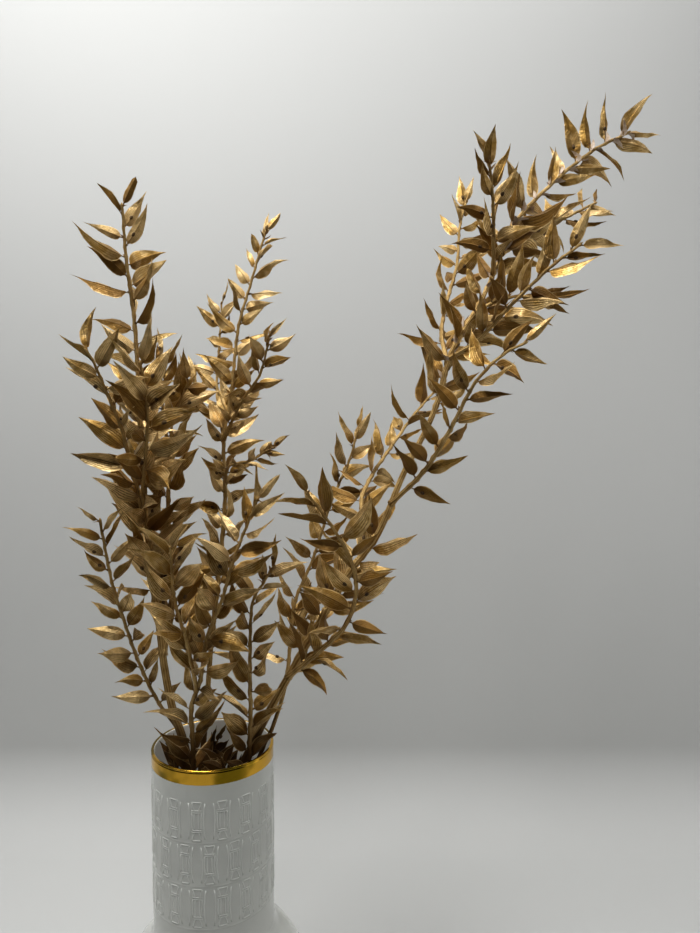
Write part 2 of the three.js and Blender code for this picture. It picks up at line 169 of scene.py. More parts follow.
class Route:
    """A smooth curve through points, measured along its length.

    Past each end the row of knots goes straight on.
    """

    DIVISIONS = 200
    SLOPE_STEP = 0.0001

    def __init__(self, knots: Sequence[Sequence[float]] | Array) -> None:
        """Measures the curve.

        Args:
            knots: the points that the curve goes through, in millimetres.
        """
        inner = np.array(knots, dtype=float)
        before = 2 * inner[0] - inner[1]
        after = 2 * inner[-1] - inner[-2]
        self.knots = np.vstack([before, inner, after])
        self.steps = np.linspace(0, 1, self.DIVISIONS + 1)
        spans = np.linalg.norm(np.diff(self.at(self.steps), axis=0), axis=1)
        self.reach = np.concatenate([[0.0], np.cumsum(spans)])

    @property
    def length(self) -> float:
        """The curve's length."""
        return float(self.reach[-1])

    def at(self, steps: Array) -> Array:
        """Returns the points at steps from 0 to 1, each knot an equal step on."""
        return spline(self.knots, np.clip(steps, 0, 1) * (len(self.knots) - 3))[0]

    def _steps(self, shares: Array) -> Array:
        """Returns the steps at shares of the length."""
        return np.interp(np.asarray(shares) * self.length, self.reach, self.steps)

    def point(self, shares: Array) -> Array:
        """Returns the points at shares of the length."""
        return self.at(self._steps(shares))

    def tangent(self, shares: Array) -> Array:
        """Works out where the curve heads.

        Args:
            shares: how far along, as shares of the length.

        Returns:
            Directions of length one.
        """
        steps = self._steps(shares)
        ahead = self.at(steps + self.SLOPE_STEP)
        return unit(ahead - self.at(steps - self.SLOPE_STEP))

    def frame(self, shares: Array) -> tuple[Array, Array, Array]:
        """Works out the curve's own three directions.

        Args:
            shares: how far along, as shares of the length.

        Returns:
            The directions along the curve, to its right and to its back.
        """
        along = self.tangent(shares)
        right = unit(np.cross([0.0, 1.0, 0.0], along))
        return along, right, np.cross(along, right)


@dataclass
class Skin:
    """Closed surfaces that are gathered into the mesh of one piece."""

    name: str
    points: list[Array] = field(default_factory=list)
    faces: list[list[int]] = field(default_factory=list)
    slots: list[Array] = field(default_factory=list)
    uvs: list[Array] = field(default_factory=list)
    creases: list[Array] = field(default_factory=list)
    values: dict[str, list[Array]] = field(default_factory=dict)
    count: int = 0

    def add(
        self,
        points: Array,
        quads: Array,
        triangles: Array,
        uv: Array | None = None,
        crease: Array | None = None,
        slot: Array | None = None,
        **values: Array,
    ) -> None:
        """Adds a surface.

        Args:
            points: one row a vertex, in millimetres.
            quads: rows of four vertices.
            triangles: rows of three vertices.
            uv: the two surface coordinates of each vertex.
            crease: a number for each vertex; an edge is sharp where both ends have the same
                bit set.
            slot: the material of each face, quads first.
            **values: named values, one for each vertex.
        """
        self.points.append(points)
        self.faces += (quads + self.count).tolist() + (triangles + self.count).tolist()
        sides = len(quads) + len(triangles)
        self.slots.append(np.zeros(sides, int) if slot is None else slot)
        self.uvs.append(np.zeros((len(points), 2)) if uv is None else uv)
        self.creases.append(np.zeros(len(points), int) if crease is None else crease)
        for key, value in values.items():
            self.values.setdefault(key, []).append(value)
        self.count += len(points)

    def build(self, *materials: bpy.types.Material) -> bpy.types.Object:
        """Makes the object.

        Args:
            *materials: the materials, in the order of the faces' numbers.

        Returns:
            The object, smooth but for its creases, at the origin.
        """
        mesh = bpy.data.meshes.new(self.name)
        mesh.from_pydata(np.vstack(self.points) * MM, [], self.faces)
        mesh.polygons.foreach_set("use_smooth", np.ones(len(self.faces), bool))
        mesh.polygons.foreach_set("material_index", np.concatenate(self.slots).astype(np.int32))
        corners = np.empty(len(mesh.loops), np.int32)
        mesh.loops.foreach_get("vertex_index", corners)
        layer = mesh.uv_layers.new(name="surface")
        layer.uv.foreach_set("vector", np.vstack(self.uvs)[corners].ravel().astype(np.float32))
        for key, parts in self.values.items():
            attribute = mesh.attributes.new(key, "FLOAT", "POINT")
            attribute.data.foreach_set("value", np.concatenate(parts).astype(np.float32))
        ends = np.empty(2 * len(mesh.edges), np.int32)
        mesh.edges.foreach_get("vertices", ends)
        bits = np.concatenate(self.creases)[ends.reshape(-1, 2)]
        sharp = mesh.attributes.new("sharp_edge", "BOOLEAN", "EDGE")
        sharp.data.foreach_set("value", (bits[:, 0] & bits[:, 1]) > 0)
        for material in materials:
            mesh.materials.append(material)
        mesh.update()
        mesh.validate()
        made = bpy.data.objects.new(self.name, mesh)
        bpy.context.scene.collection.objects.link(made)
        log.info("%s: %d vertices, %d faces", self.name, self.count, len(self.faces))
        return made


def ring_grid(rows: int, sides: int) -> Array:
    """Joins rows of points, each row a closed ring, by quads.

    Args:
        rows: how many rows there are.
        sides: how many points each row has.

    Returns:
        Rows of four numbers of points.
    """
    row, side = np.meshgrid(np.arange(rows - 1), np.arange(sides), indexing="ij")
    low, near = row * sides, (side + 1) % sides
    quads = np.stack([low + side, low + near, low + sides + near, low + sides + side], axis=-1)
    return quads.reshape(-1, 4)


def capped_tube(rings: Array, start: Array, end: Array) -> tuple[Array, Array, Array]:
    """Returns the closed skin over rings of points.

    Args:
        rings: points as rows, sides and three coordinates.
        start: the point that closes the first ring.
        end: the point that closes the last ring.

    Returns:
        The points, the quads between the rings, and the two fans that close it.
    """
    rows, sides = rings.shape[:2]
    points = np.vstack([rings.reshape(-1, 3), start, end])
    side = np.arange(sides)
    near = (side + 1) % sides
    first, last = rows * sides, rows * sides + 1
    top = (rows - 1) * sides
    low_fan = np.stack([np.full(sides, first), near, side], axis=1)
    high_fan = np.stack([np.full(sides, last), top + side, top + near], axis=1)
    return points, ring_grid(rows, sides), np.vstack([low_fan, high_fan])


# ---------------------------------------------------------------- how the stems grow


@dataclass(frozen=True)
class Branch:
    """One branch: where it runs, how thick it is and where its leaves stand.

    The route is measured from the centre of the vase's rim. A side branch starts inside the
    branch that carries it, a share of the way along.
    """

    route: tuple[Point, ...]
    radii: Pair
    leafy: tuple[Pair, ...]
    spacing: float
    leaf: float
    parent: str = ""
    fork: float = 0.0


@dataclass(frozen=True)
class StemPlan:
    """One stem: its CAD node, the seed of its draws and its branches."""

    node: str
    seed: int
    branches: dict[str, Branch]


STEM_PLANS = (
    StemPlan("stem_left_low", 101, {
        "main": Branch(
            ((-4, -6, FLOOR), (0, 2, -115), (-14, 5, -40), (-24, 8, 0), (-40, 6, 27),
             (-51, 0, 57), (-58, -8, 88), (-63, -16, 116), (-66, -28, 159)),
            (1.9, 0.8), ((274, END),), 6.2, 23),
    }),
    StemPlan("stem_left_tall", 202, {
        "main": Branch(
            ((6, -22, FLOOR), (1, -12, -115), (-11, -5, -40), (-20, -3, 2), (-28, 0, 24),
             (-34, 3, 52), (-38, 6, 80), (-43, 8, 115), (-48, 6, 189), (-49, 4, 237),
             (-51, 3, 288), (-55, 0, 330), (-56, -4, 366)),
            (4.2, 0.8), ((345, END),), 6.3, 31),
        "left": Branch(
            ((-49, -14, 190), (-52, -24, 217), (-57, -32, 236), (-63, -40, 257), (-67, -44, 266)),
            (1.7, 0.7), ((8, END),), 6.3, 30, "main", 0.64),
        "front": Branch(
            ((-43, -10, 168), (-37, -24, 200), (-32, -36, 230), (-33, -46, 258)),
            (1.5, 0.7), ((10, END),), 7.2, 33, "main", 0.56),
        "right": Branch(
            ((-31, 12, 90), (-33, 20, 118), (-36, 26, 162), (-36, 32, 195), (-42, 38, 231),
             (-44, 42, 271)),
            (2.2, 0.7), ((22, END),), 6.6, 28, "main", 0.5),
        "twig": Branch(
            ((-31, 22, 222), (-16, 8, 251)),
            (1.1, 0.6), ((6, END),), 6.6, 25, "right", 0.62),
    }),
    StemPlan("stem_centre_tall", 303, {
        "main": Branch(
            ((-34, 8, FLOOR), (-22, 12, -115), (-11, 16, -15), (-8, 20, 25), (-5, 24, 67),
             (0, 28, 116), (4, 32, 166), (3, 34, 209), (8, 38, 242), (13, 42, 291), (22, 46, 325),
             (33, 50, 365)),
            (2.7, 0.7), ((310, END),), 6, 24),
        "right": Branch(
            ((18, 20, 236), (33, 8, 255), (41, 0, 281)),
            (1.2, 0.6), ((8, END),), 5.8, 21, "main", 0.74),
        "left": Branch(
            ((-5, 52, 247), (-5, 64, 282), (-4, 70, 315)),
            (1.2, 0.6), ((10, END),), 6.2, 23, "main", 0.74),
        "low": Branch(
            ((10, 14, 191), (27, 2, 196), (43, -6, 205)),
            (1.1, 0.6), ((8, END),), 5.2, 16, "main", 0.68),
        "twig": Branch(
            ((-15, 50, 236), (-25, 58, 261)),
            (1, 0.6), ((8, END),), 6.2, 23, "main", 0.76),
        "mouth": Branch(
            ((-6, 7, -24), (2, -2, 1)),
            (1.1, 0.7), ((14, END),), 5, 21, "main", 0.33),
    }),
    StemPlan("stem_centre_low", 404, {
        "main": Branch(
            ((-12, -36, FLOOR), (-8, -27, -115), (-9, -22, 0), (-9, -26, 34), (-2, -30, 55),
             (4, -36, 85), (15, -42, 111), (23, -46, 137), (39, -52, 175)),
            (2.5, 0.7), ((220, END),), 6, 27),
        "left": Branch(
            ((-8, -40, 82), (-14, -46, 112), (-15, -50, 145)),
            (1.3, 0.7), ((10, END),), 6.2, 27, "main", 0.68),
        "mouth": Branch(
            ((-17, -22, -24), (-24, -17, 2)),
            (1.1, 0.7), ((14, END),), 5, 21, "main", 0.46),
    }),
    StemPlan("stem_centre_short", 505, {
        "main": Branch(
            ((26, -16, FLOOR), (21, -14, -115), (27, -16, -3), (29, -20, 31), (29, -22, 52),
             (31, -26, 101), (39, -30, 118), (46, -34, 129)),
            (2.8, 0.7), ((224, END),), 6, 26),
        "mouth": Branch(
            ((17, -21, -22), (9, -24, 1)),
            (1.1, 0.7), ((14, END),), 5, 20, "main", 0.52),
    }),
    StemPlan("stem_right_tall", 606, {
        "main": Branch(
            ((-30, 30, FLOOR), (-12, 18, -115), (10, 9, -40), (26, 6, -5), (35, 4, 14),
             (56, 0, 53), (78, -2, 92), (96, -4, 122), (114, -4, 147), (131, -4, 187),
             (151, -2, 227), (164, 0, 270), (183, 2, 303), (195, 4, 329), (206, 6, 356),
             (230, 10, 382), (260, 14, 407), (288, 18, 422)),
            (3.9, 0.8), ((318, 415), (515, END)), 6.3, 30),
        "low_front": Branch(
            ((74, -20, 70), (91, -36, 91), (98, -46, 111), (98, -54, 129), (92, -60, 146),
             (82, -65, 163), (70, -70, 180)),
            (1.9, 0.7), ((12, END),), 8.2, 30, "main", 0.4),
        "low_back": Branch(
            ((103, 16, 164), (110, 34, 182), (127, 48, 206), (145, 58, 230), (164, 64, 251)),
            (1.7, 0.7), ((12, END),), 7, 27, "main", 0.55),
        "front": Branch(
            ((143, -22, 190), (157, -38, 216), (170, -50, 244), (184, -58, 260), (198, -64, 268)),
            (1.7, 0.7), ((20, END),), 7.2, 28, "main", 0.585),
        "upper_back": Branch(
            ((159, 18, 284), (164, 32, 307), (173, 42, 337), (176, 50, 366), (182, 56, 388)),
            (1.6, 0.7), ((12, END),), 6, 27, "main", 0.72),
        "upper_front": Branch(
            ((178, -16, 275), (196, -34, 295), (215, -48, 314), (231, -58, 326)),
            (1.5, 0.7), ((10, END),), 6, 27, "main", 0.725),
        "middle_front": Branch(
            ((184, -6, 298), (202, -12, 304), (222, -18, 302)),
            (1.4, 0.7), ((10, END),), 6, 27, "main", 0.75),
        "upper_left": Branch(
            ((189, -10, 351), (186, -20, 369), (182, -28, 387)),
            (1.4, 0.7), ((8, END),), 6, 26, "main", 0.81),
        "upper_right": Branch(
            ((224, 24, 354), (249, 38, 369), (276, 48, 384)),
            (1.4, 0.7), ((8, END),), 6, 27, "main", 0.83),
    }),
    StemPlan("stem_right_low", 707, {
        "main": Branch(
            ((16, 10, FLOOR), (10, 2, -115), (22, -1, -40), (35, -3, -2), (41, 2, 10),
             (49, 10, 35), (52, 17, 61), (55, 24, 92), (68, 30, 123), (82, 36, 166),
             (94, 40, 193), (101, 44, 218)),
            (2.2, 0.7), ((296, END),), 7.4, 27),
        "twig": Branch(
            ((61, 34, 78), (67, 44, 92), (75, 52, 105)),
            (1, 0.6), ((8, END),), 6.8, 22, "main", 0.66),
    }),
)


@dataclass(frozen=True)
class Try:
    """What is added to a leaf's angles, in degrees, and a share of its size."""

    turn: float
    tilt: float
    roll: float
    size: float


TRIES = (
    Try(0, 0, 0, 1), Try(0, 0, 35, 1), Try(0, 0, -35, 1), Try(35, -8, 0, 1), Try(-35, -8, 0, 1),
    Try(0, -25, 20, 0.95), Try(0, 22, -20, 0.95), Try(75, 0, 0, 0.95), Try(-75, 0, 0, 0.95),
    Try(180, 0, 0, 0.9), Try(120, -12, 30, 0.85), Try(-120, -12, -30, 0.85),
    Try(20, -35, 60, 0.7),
)


@dataclass(frozen=True)
class Habit:
    """How a leaf stands before anything is in its way: degrees and millimetres."""

    turn: float
    tilt: float
    roll: float
    faces: int
    fold: float
    length: float
    half_width: float
    arch: float
    sickle: float


@dataclass(frozen=True)
class Leaf:
    """One leaf at its place on a stick, with its own three directions.

    The middle is that of the CAD model's straight-sided stick; the bend leads from there to the
    smooth curve.
    """

    middle: Array
    bend: Array
    along: Array
    outward: Array
    ahead: Array
    face: Array
    across: Array
    radius: float
    length: float
    half_width: float
    arch: float
    sickle: float
    fold: float
    growth: float

    def midrib(self, share: float, stalk: float) -> Array:
        """Returns the point of the midrib at a share of the blade's length.

        Args:
            share: the share, from 0 to 1.
            stalk: the length of the leaf's stalk.

        Returns:
            The straight way ahead, bowed by the square of the share to the face and across.
        """
        bow = self.length * share**2
        straight = self.ahead * (self.radius + stalk + self.length * share)
        return self.middle + straight + (self.face * self.arch + self.across * self.sickle) * bow


@dataclass(frozen=True)
class LeafRules:
    """The habit of all leaves: angles in degrees, lengths in millimetres, strays in both."""

    stalk: float = 2.0
    half_thickness: float = 0.65
    half_width_to_length: float = 0.18
    widest_at: float = 0.32
    rank_swing: float = 34
    rank_swing_leaves: float = 17
    tilt: float = 54
    tip_tilt: float = 22
    tip_reach: float = 28
    tip_shorter: float = 0.2
    fold: float = 24
    roll: float = 72
    arch: float = -0.03
    share_facing_front: float = 0.8
    share_keeled: float = 0.65
    stray_place: float = 0.5
    stray_turn: float = 72
    stray_tilt: float = 42
    stray_roll: float = 76
    stray_length: float = 0.4
    stray_width: float = 0.3
    stray_arch: float = 0.26
    stray_sickle: float = 0.14
    twig_tip: float = 1.5
    ring_spacing: float = 36
    same_corner: float = 0.05

    def places(self, branch: Branch, length: float, draw: Draws) -> list[float]:
        """Spaces a branch's leaves evenly over its leafy stretches, each with a small stray.

        Args:
            branch: the branch.
            length: its curve's length.
            draw: the stem's draws.

        Returns:
            How far along the branch each leaf stands, in millimetres.
        """
        end = length - self.twig_tip
        found: list[float] = []
        for start, stop in branch.leafy:
            stretch = min(stop, end) - start
            count = int(math.floor(stretch / branch.spacing + 0.5))
            for leaf in range(count + 1):
                nudge = draw.stray(self.stray_place) * branch.spacing if leaf < count else 0.0
                found.append(min(start + stretch * leaf / count + nudge, end))
        return found

    def habit(self, branch: Branch, to_tip: float, order: int, draw: Draws) -> Habit:
        """Draws the habit of one leaf.

        Args:
            branch: the branch that carries it.
            to_tip: how far it stands from the branch's tip.
            order: its number along the branch.
            draw: the stem's draws.

        Returns:
            The habit.
        """
        near_tip = max(0.0, 1 - to_tip / self.tip_reach)
        swing = self.rank_swing * math.sin(order / self.rank_swing_leaves * 2 * math.pi)
        turn = 180 * order + swing + draw.stray(self.stray_turn)
        tilt = self.tilt + (self.tip_tilt - self.tilt) * near_tip + draw.stray(self.stray_tilt)
        roll = self.roll + draw.stray(self.stray_roll)
        facing = draw.next()
        length = branch.leaf * (1 + draw.stray(self.stray_length))
        length *= 1 - self.tip_shorter * near_tip
        half_width = length * self.half_width_to_length * (1 + draw.stray(self.stray_width))
        return Habit(
            turn=turn, tilt=tilt, roll=roll,
            faces=1 if facing < self.share_facing_front else -1,
            fold=-self.fold if facing < self.share_keeled else self.fold,
            length=length, half_width=half_width,
            arch=self.arch + draw.stray(self.stray_arch),
            sickle=draw.stray(self.stray_sickle),
        )

    def place(self, route: Route, branch: Branch, share: float, habit: Habit, by: Try) -> Leaf:
        """Puts a leaf on its branch.

        Args:
            route: the branch's curve.
            branch: the branch.
            share: how far along the curve the leaf stands.
            habit: how the leaf stands.
            by: what is added to the habit.

        Returns:
            The leaf, its middle on the straight stick between the CAD model's rings.
        """
        along, right, back = (vectors[0] for vectors in route.frame(np.array([share])))
        steps = math.ceil(route.length / self.ring_spacing)
        step = min(math.floor(share * steps), steps - 1)
        low, high = route.point(np.array([step, step + 1]) / steps)
        outward = between(right, back, math.radians(habit.turn + by.turn))
        ahead, up = tilted(along, outward, habit.tilt + by.tilt)
        aside = np.cross(outward, along)
        frontward = 1 if aside[1] < 0 else -1
        roll = math.radians(habit.roll + by.roll) * frontward * habit.faces
        face = between(up, aside, roll)
        core = low + (high - low) * (share * steps - step)
        return Leaf(
            middle=core, bend=route.point(np.array([share]))[0] - core,
            along=along, outward=outward,
            ahead=ahead, face=face, across=np.cross(ahead, face),
            radius=branch.radii[0] + (branch.radii[1] - branch.radii[0]) * share,
            length=habit.length * by.size, half_width=habit.half_width * by.size,
            arch=habit.arch, sickle=habit.sickle, fold=habit.fold, growth=share,
        )

    def corners(self, leaf: Leaf) -> Array:
        """Works out the corners of the solid leaf on its midrib.

        Args:
            leaf: the leaf.

        Returns:
            The tip, and the upper and the lower face where the blade is widest.
        """
        thickest = leaf.midrib(self.widest_at, self.stalk)
        proud = leaf.face * self.half_thickness
        return np.array([leaf.midrib(1, self.stalk), thickest + proud, thickest - proud])


@dataclass(frozen=True)
class GrownBranch:
    """A branch with its curve, the places of its leaves and the leaves themselves."""

    branch: Branch
    route: Route
    places: tuple[float, ...]
    leaves: tuple[Leaf, ...]


def node_corners(node: str) -> Array:
    """Reads the corners of a CAD node's mesh.

    Args:
        node: the node's name.

    Returns:
        The corners, in millimetres, each once.
    """
    mesh = frame["nodes"][node].data
    found = np.empty(3 * len(mesh.vertices), np.float32)
    mesh.vertices.foreach_get("co", found)
    return np.unique(np.round(found.reshape(-1, 3).astype(float) / MM, 3), axis=0)


def grow(plan: StemPlan, rules: LeafRules) -> Iterator[GrownBranch]:
    """Grows the branches of a stem, each after the branch that carries it.

    Every leaf of the CAD model stands by the first of the tries that was clear there, so the
    try whose corners the node's mesh has is the leaf's, and a leaf that none fits isn't there.

    Args:
        plan: the stem.
        rules: the habit of its leaves.

    Yields:
        Each branch with its leaves.
    """
    draw = Draws(plan.seed)
    corners = node_corners(plan.node)
    routes: dict[str, Route] = {}
    for name, branch in plan.branches.items():
        knots = np.array(branch.route, dtype=float) + [0, 0, RIM_HEIGHT]
        if branch.parent:
            fork = routes[branch.parent].point(np.array([branch.fork]))
            knots = np.vstack([fork, knots])
        route = routes[name] = Route(knots)
        places = rules.places(branch, route.length, draw)
        leaves = []
        for order, place in enumerate(places):
            habit = rules.habit(branch, route.length - place, order, draw)
            share = place / route.length
            tried = [rules.place(route, branch, share, habit, by) for by in TRIES]
            ends = np.array([rules.corners(leaf) for leaf in tried])
            gaps = np.linalg.norm(ends[:, :, None] - corners, axis=-1).min(axis=-1)
            found = (gaps < rules.same_corner).sum(axis=1)
            if found.max() > 0:
                leaves.append(tried[int(found.argmax())])
        log.info("%s %s: %d places, %d leaves", plan.node, name, len(places), len(leaves))
        yield GrownBranch(branch, route, tuple(places), tuple(leaves))


# ---------------------------------------------------------------- leaves


@dataclass
class Foliage:
    """The leaves of one stem: folded, pointed blades, all worked out as whole arrays."""

    rules: LeafRules
    seed: int
    rows: tuple[float, ...] = (0.0, 0.05, 0.13, 0.24, 0.38, 0.54, 0.71, 0.87)
    columns: tuple[float, ...] = (-1.0, -0.5, 0.0, 0.5, 1.0)
    base_power: float = 0.62
    tip_power: Pair = (1.2, 1.8)
    fullness: Pair = (0.88, 1.1)
    tip_slimness: float = 0.3
    slim_from: float = 0.9
    share_torn: float = 0.03
    torn_at: Pair = (0.72, 0.86)
    root_depth: float = 0.65
    stalk_half_width: float = 0.45
    thickness: float = 0.5
    thinner_tip: float = 0.6
    thinner_side: float = 0.5
    steep_by_midrib: Pair = (0.75, 1.6)
    fold_mean: float = 1.35
    fold_spread: float = 0.45
    fold_limits: Pair = (0.3, 2.2)
    twist_spread: float = 20.0
    curl_spread: float = 0.13
    hook_spread: float = 0.1
    lopsided: float = 0.35
    wave: float = 0.07
    wave_turns: float = 11.0
    tone: Pair = (0.0, 0.9)
    share_knobbed: float = 0.24
    knob: tuple[float, float, float] = (1.5, 1.05, 0.75)
    knob_row: int = 4
    knob_sides: int = 8
    knob_profile: tuple[Pair, ...] = ((0.85, -0.8), (1.0, 0.25), (0.8, 0.85), (0.4, 1.0))
    knob_foot: float = -0.8
    knob_dimple: float = 0.75

    def width_at(self, share: Array, tip_power: Array) -> Array:
        """Returns half the blade's width as a share of the widest.

        Args:
            share: the place along the blade, from 0 to 1.
            tip_power: how far each leaf's tip is drawn out.

        Returns:
            s^a (1 - s)^b over its greatest value: round at the base, drawn out to a point.
        """
        peak = self.base_power / (self.base_power + tip_power)
        top = peak**self.base_power * (1 - peak) ** tip_power
        return share**self.base_power * (1 - share) ** tip_power / top

    def half_widths(
        self, one: dict[str, Array], share: Array, chance: np.random.Generator
    ) -> Array:
        """Works out half the width of each blade.

        Args:
            one: the leaves' values by name, one leaf a row.
            share: the places along the blades.
            chance: the draws.

        Returns:
            The half-widths at those places, nought at the tip.
        """
        n = len(share)
        tip_power = chance.uniform(*self.tip_power, (n, 1))
        near_tip = np.clip((one["growth"] - self.slim_from) / (1 - self.slim_from), 0, 1)
        full = chance.uniform(*self.fullness, (n, 1)) * (1 - self.tip_slimness * near_tip)
        half = one["half_width"] * full * self.width_at(share, tip_power)
        half = half + self.stalk_half_width * (1 - share) ** 2
        half[:, -1] = 0
        return half

    def rises(
        self, one: dict[str, Array], share: Array, half: Array, chance: np.random.Generator
    ) -> Array:
        """Works out how far the points of each blade rise beside its midrib.

        Args:
            one: the leaves' values by name, one leaf a row.
            share: the places along the blades.
            half: half the width there.
            chance: the draws.

        Returns:
            h tan(fold) (k |u| - (k - 1) u^2), steep by the midrib or by the edge, with a ripple
            that grows by the cube of u.
        """
        n, u = len(share), np.array(self.columns)
        spread = chance.normal(self.fold_mean, self.fold_spread, (n, 1, 1))
        fold = np.tan(np.radians(one["fold"]))[..., None] * np.clip(spread, *self.fold_limits)
        uneven = 1 + np.sign(u) * chance.uniform(-self.lopsided, self.lopsided, (n, 1, 1))
        k = chance.uniform(*self.steep_by_midrib, (n, 1, 1))
        rise = half[..., None] * fold * uneven * (k * np.abs(u) - (k - 1) * u**2)
        phase = chance.uniform(0, 2 * math.pi, (n, 1, 2))
        turns = self.wave_turns * share[..., None] + phase[..., :1] * np.sign(u)
        ripple = np.sin(turns + phase[..., 1:]) * np.abs(u) ** 3
        swell = self.wave * one["length"] * share * (1 - share) * 2
        return rise + ripple * swell[..., None]

    def blades(
        self, leaves: Sequence[Leaf], chance: np.random.Generator
    ) -> tuple[Array, Array, Array]:
        """Works out the blades before they have any thickness.

        Args:
            leaves: the leaves.
            chance: the draws.

        Returns:
            The points as leaves, rows, columns and coordinates, the direction up from each row,
            and the rows' places v. A point is midrib(v) + side u h(v) + up r(u, v), where h is
            the half-width, r is the rise, and side and up turn with the blade's twist.
        """
        n = len(leaves)
        one = {
            item.name: np.array([getattr(leaf, item.name) for leaf in leaves])[:, None]
            for item in fields(Leaf)
        }
        torn = chance.random((n, 1)) < self.share_torn
        cut = np.where(torn, chance.uniform(*self.torn_at, (n, 1)), 1.0)
        share = np.concatenate([[0.0], self.rows, [1.0]])[None] * cut
        reach = one["radius"] + self.rules.stalk + one["length"] * share
        reach[:, 0] = one["radius"][:, 0] * (1 - self.root_depth)
        half = self.half_widths(one, share, chance)
        curl = chance.normal(0, self.curl_spread, (n, 1))
        hook = chance.normal(0, self.hook_spread, (n, 1))
        twist = np.radians(chance.normal(0, self.twist_spread, (n, 1))) * share
        bow = one["length"] * share**2
        lift = ((one["arch"] + curl * share) * bow)[..., None]
        aside = ((one["sickle"] + hook * share) * bow)[..., None]
        face, across = one["face"], one["across"]
        side = between(across, face, twist[..., None])
        up = between(face, -across, twist[..., None])
        spine = one["middle"] + one["bend"] + one["ahead"] * reach[..., None]
        spine = spine + face * lift + across * aside
        out = (np.array(self.columns) * half[..., None])[..., None]
        rise = self.rises(one, share, half, chance)[..., None]
        return spine[:, :, None] + side[:, :, None] * out + up[:, :, None] * rise, up, share

    def surface(self, leaves: Sequence[Leaf]) -> tuple[Array, Array, dict[str, Array]]:
        """Works out the skin of every leaf.

        Args:
            leaves: the leaves.

        Returns:
            The points of the upper face, of the lower face and of the tip, leaf after leaf, the
            surface coordinates, and the named values.
        """
        chance = np.random.default_rng(self.seed)
        sheet, up, share = self.blades(leaves, chance)
        n, v = len(leaves), share[..., None]
        off = np.abs(np.array(self.columns))
        thin = (1 - self.thinner_tip * v) * (1 - self.thinner_side * off) * (off < 1)
        thin = (self.thickness / 2 * thin)[..., None] * up[:, :, None]
        across = np.broadcast_to(0.5 + 0.5 * np.array(self.columns), sheet.shape[:3])
        flat = np.stack([across, np.broadcast_to(v, sheet.shape[:3])], axis=-1)
        points = self.gather(sheet + thin, sheet - thin, sheet)
        size = points.shape[1]
        values = {
            "tone": np.repeat(chance.uniform(*self.tone, n), size),
            "knobbed": np.repeat((chance.random(n) < self.share_knobbed).astype(float), size),
            # painted shade deep in the vase's mouth, from 0 to 1
            "deep": mouth_shade_amount(points).ravel(),
        }
        uv = self.gather(flat, flat, flat)
        return points.reshape(-1, 3), uv.reshape(-1, 2), values

    def gather(self, upper: Array, lower: Array, tip: Array) -> Array:
        """Picks the values of each leaf's vertices from its grids.

        Args:
            upper: the upper faces' values, as leaves, rows, columns and numbers.
            lower: the same for the lower faces, whose edges are the upper ones' and left out.
            tip: the same for the tips alone, each the middle of its leaf's last row.

        Returns:
            The values as leaves, vertices and numbers.
        """
        parts = upper[:, :-1], lower[:, :-1, 1:-1], tip[:, -1:, len(self.columns) // 2]
        rows = [part.reshape(len(part), -1, part.shape[-1]) for part in parts]
        return np.concatenate(rows, axis=1)

    def pattern(self) -> tuple[Array, Array, Array]:
        """Works out the faces and creases of one leaf, upper face first.

        Returns:
            The quads, the triangles and each vertex's crease: 1 round the edge, 2 on the upper
            midrib, 4 on the lower one, and all three at the tip.
        """
        rows, columns = len(self.rows) + 1, len(self.columns)
        upper = np.arange(rows * columns).reshape(rows, columns)
        inner = np.arange(rows * (columns - 2)).reshape(rows, columns - 2) + rows * columns
        lower = np.concatenate([upper[:, :1], inner, upper[:, -1:]], axis=1)
        tip = rows * columns + rows * (columns - 2)
        quads = [
            np.stack([grid[:-1, :-1], grid[:-1, 1:], grid[1:, 1:], grid[1:, :-1]], axis=-1)
            .reshape(-1, 4)[:, ::order]
            for grid, order in ((upper, 1), (lower, -1))
        ]
        cap = np.stack([upper[0, 1:-2], lower[0, 1:-2], lower[0, 2:-1], upper[0, 2:-1]], axis=-1)
        ends = np.array([
            [upper[0, 0], lower[0, 1], upper[0, 1]], [upper[0, -1], upper[0, -2], lower[0, -2]],
        ])
        points = [
            np.stack([grid[-1, :-1], grid[-1, 1:], np.full(columns - 1, tip)], axis=-1)[:, ::order]
            for grid, order in ((upper, 1), (lower, -1))
        ]
        crease = np.zeros(tip + 1, int)
        crease[upper[:, [0, -1]]] = 1
        crease[upper[:, columns // 2]] = 2
        crease[lower[:, columns // 2]] = 4
        crease[tip] = 7
        return np.vstack([*quads, cap]), np.vstack([ends, *points]), crease

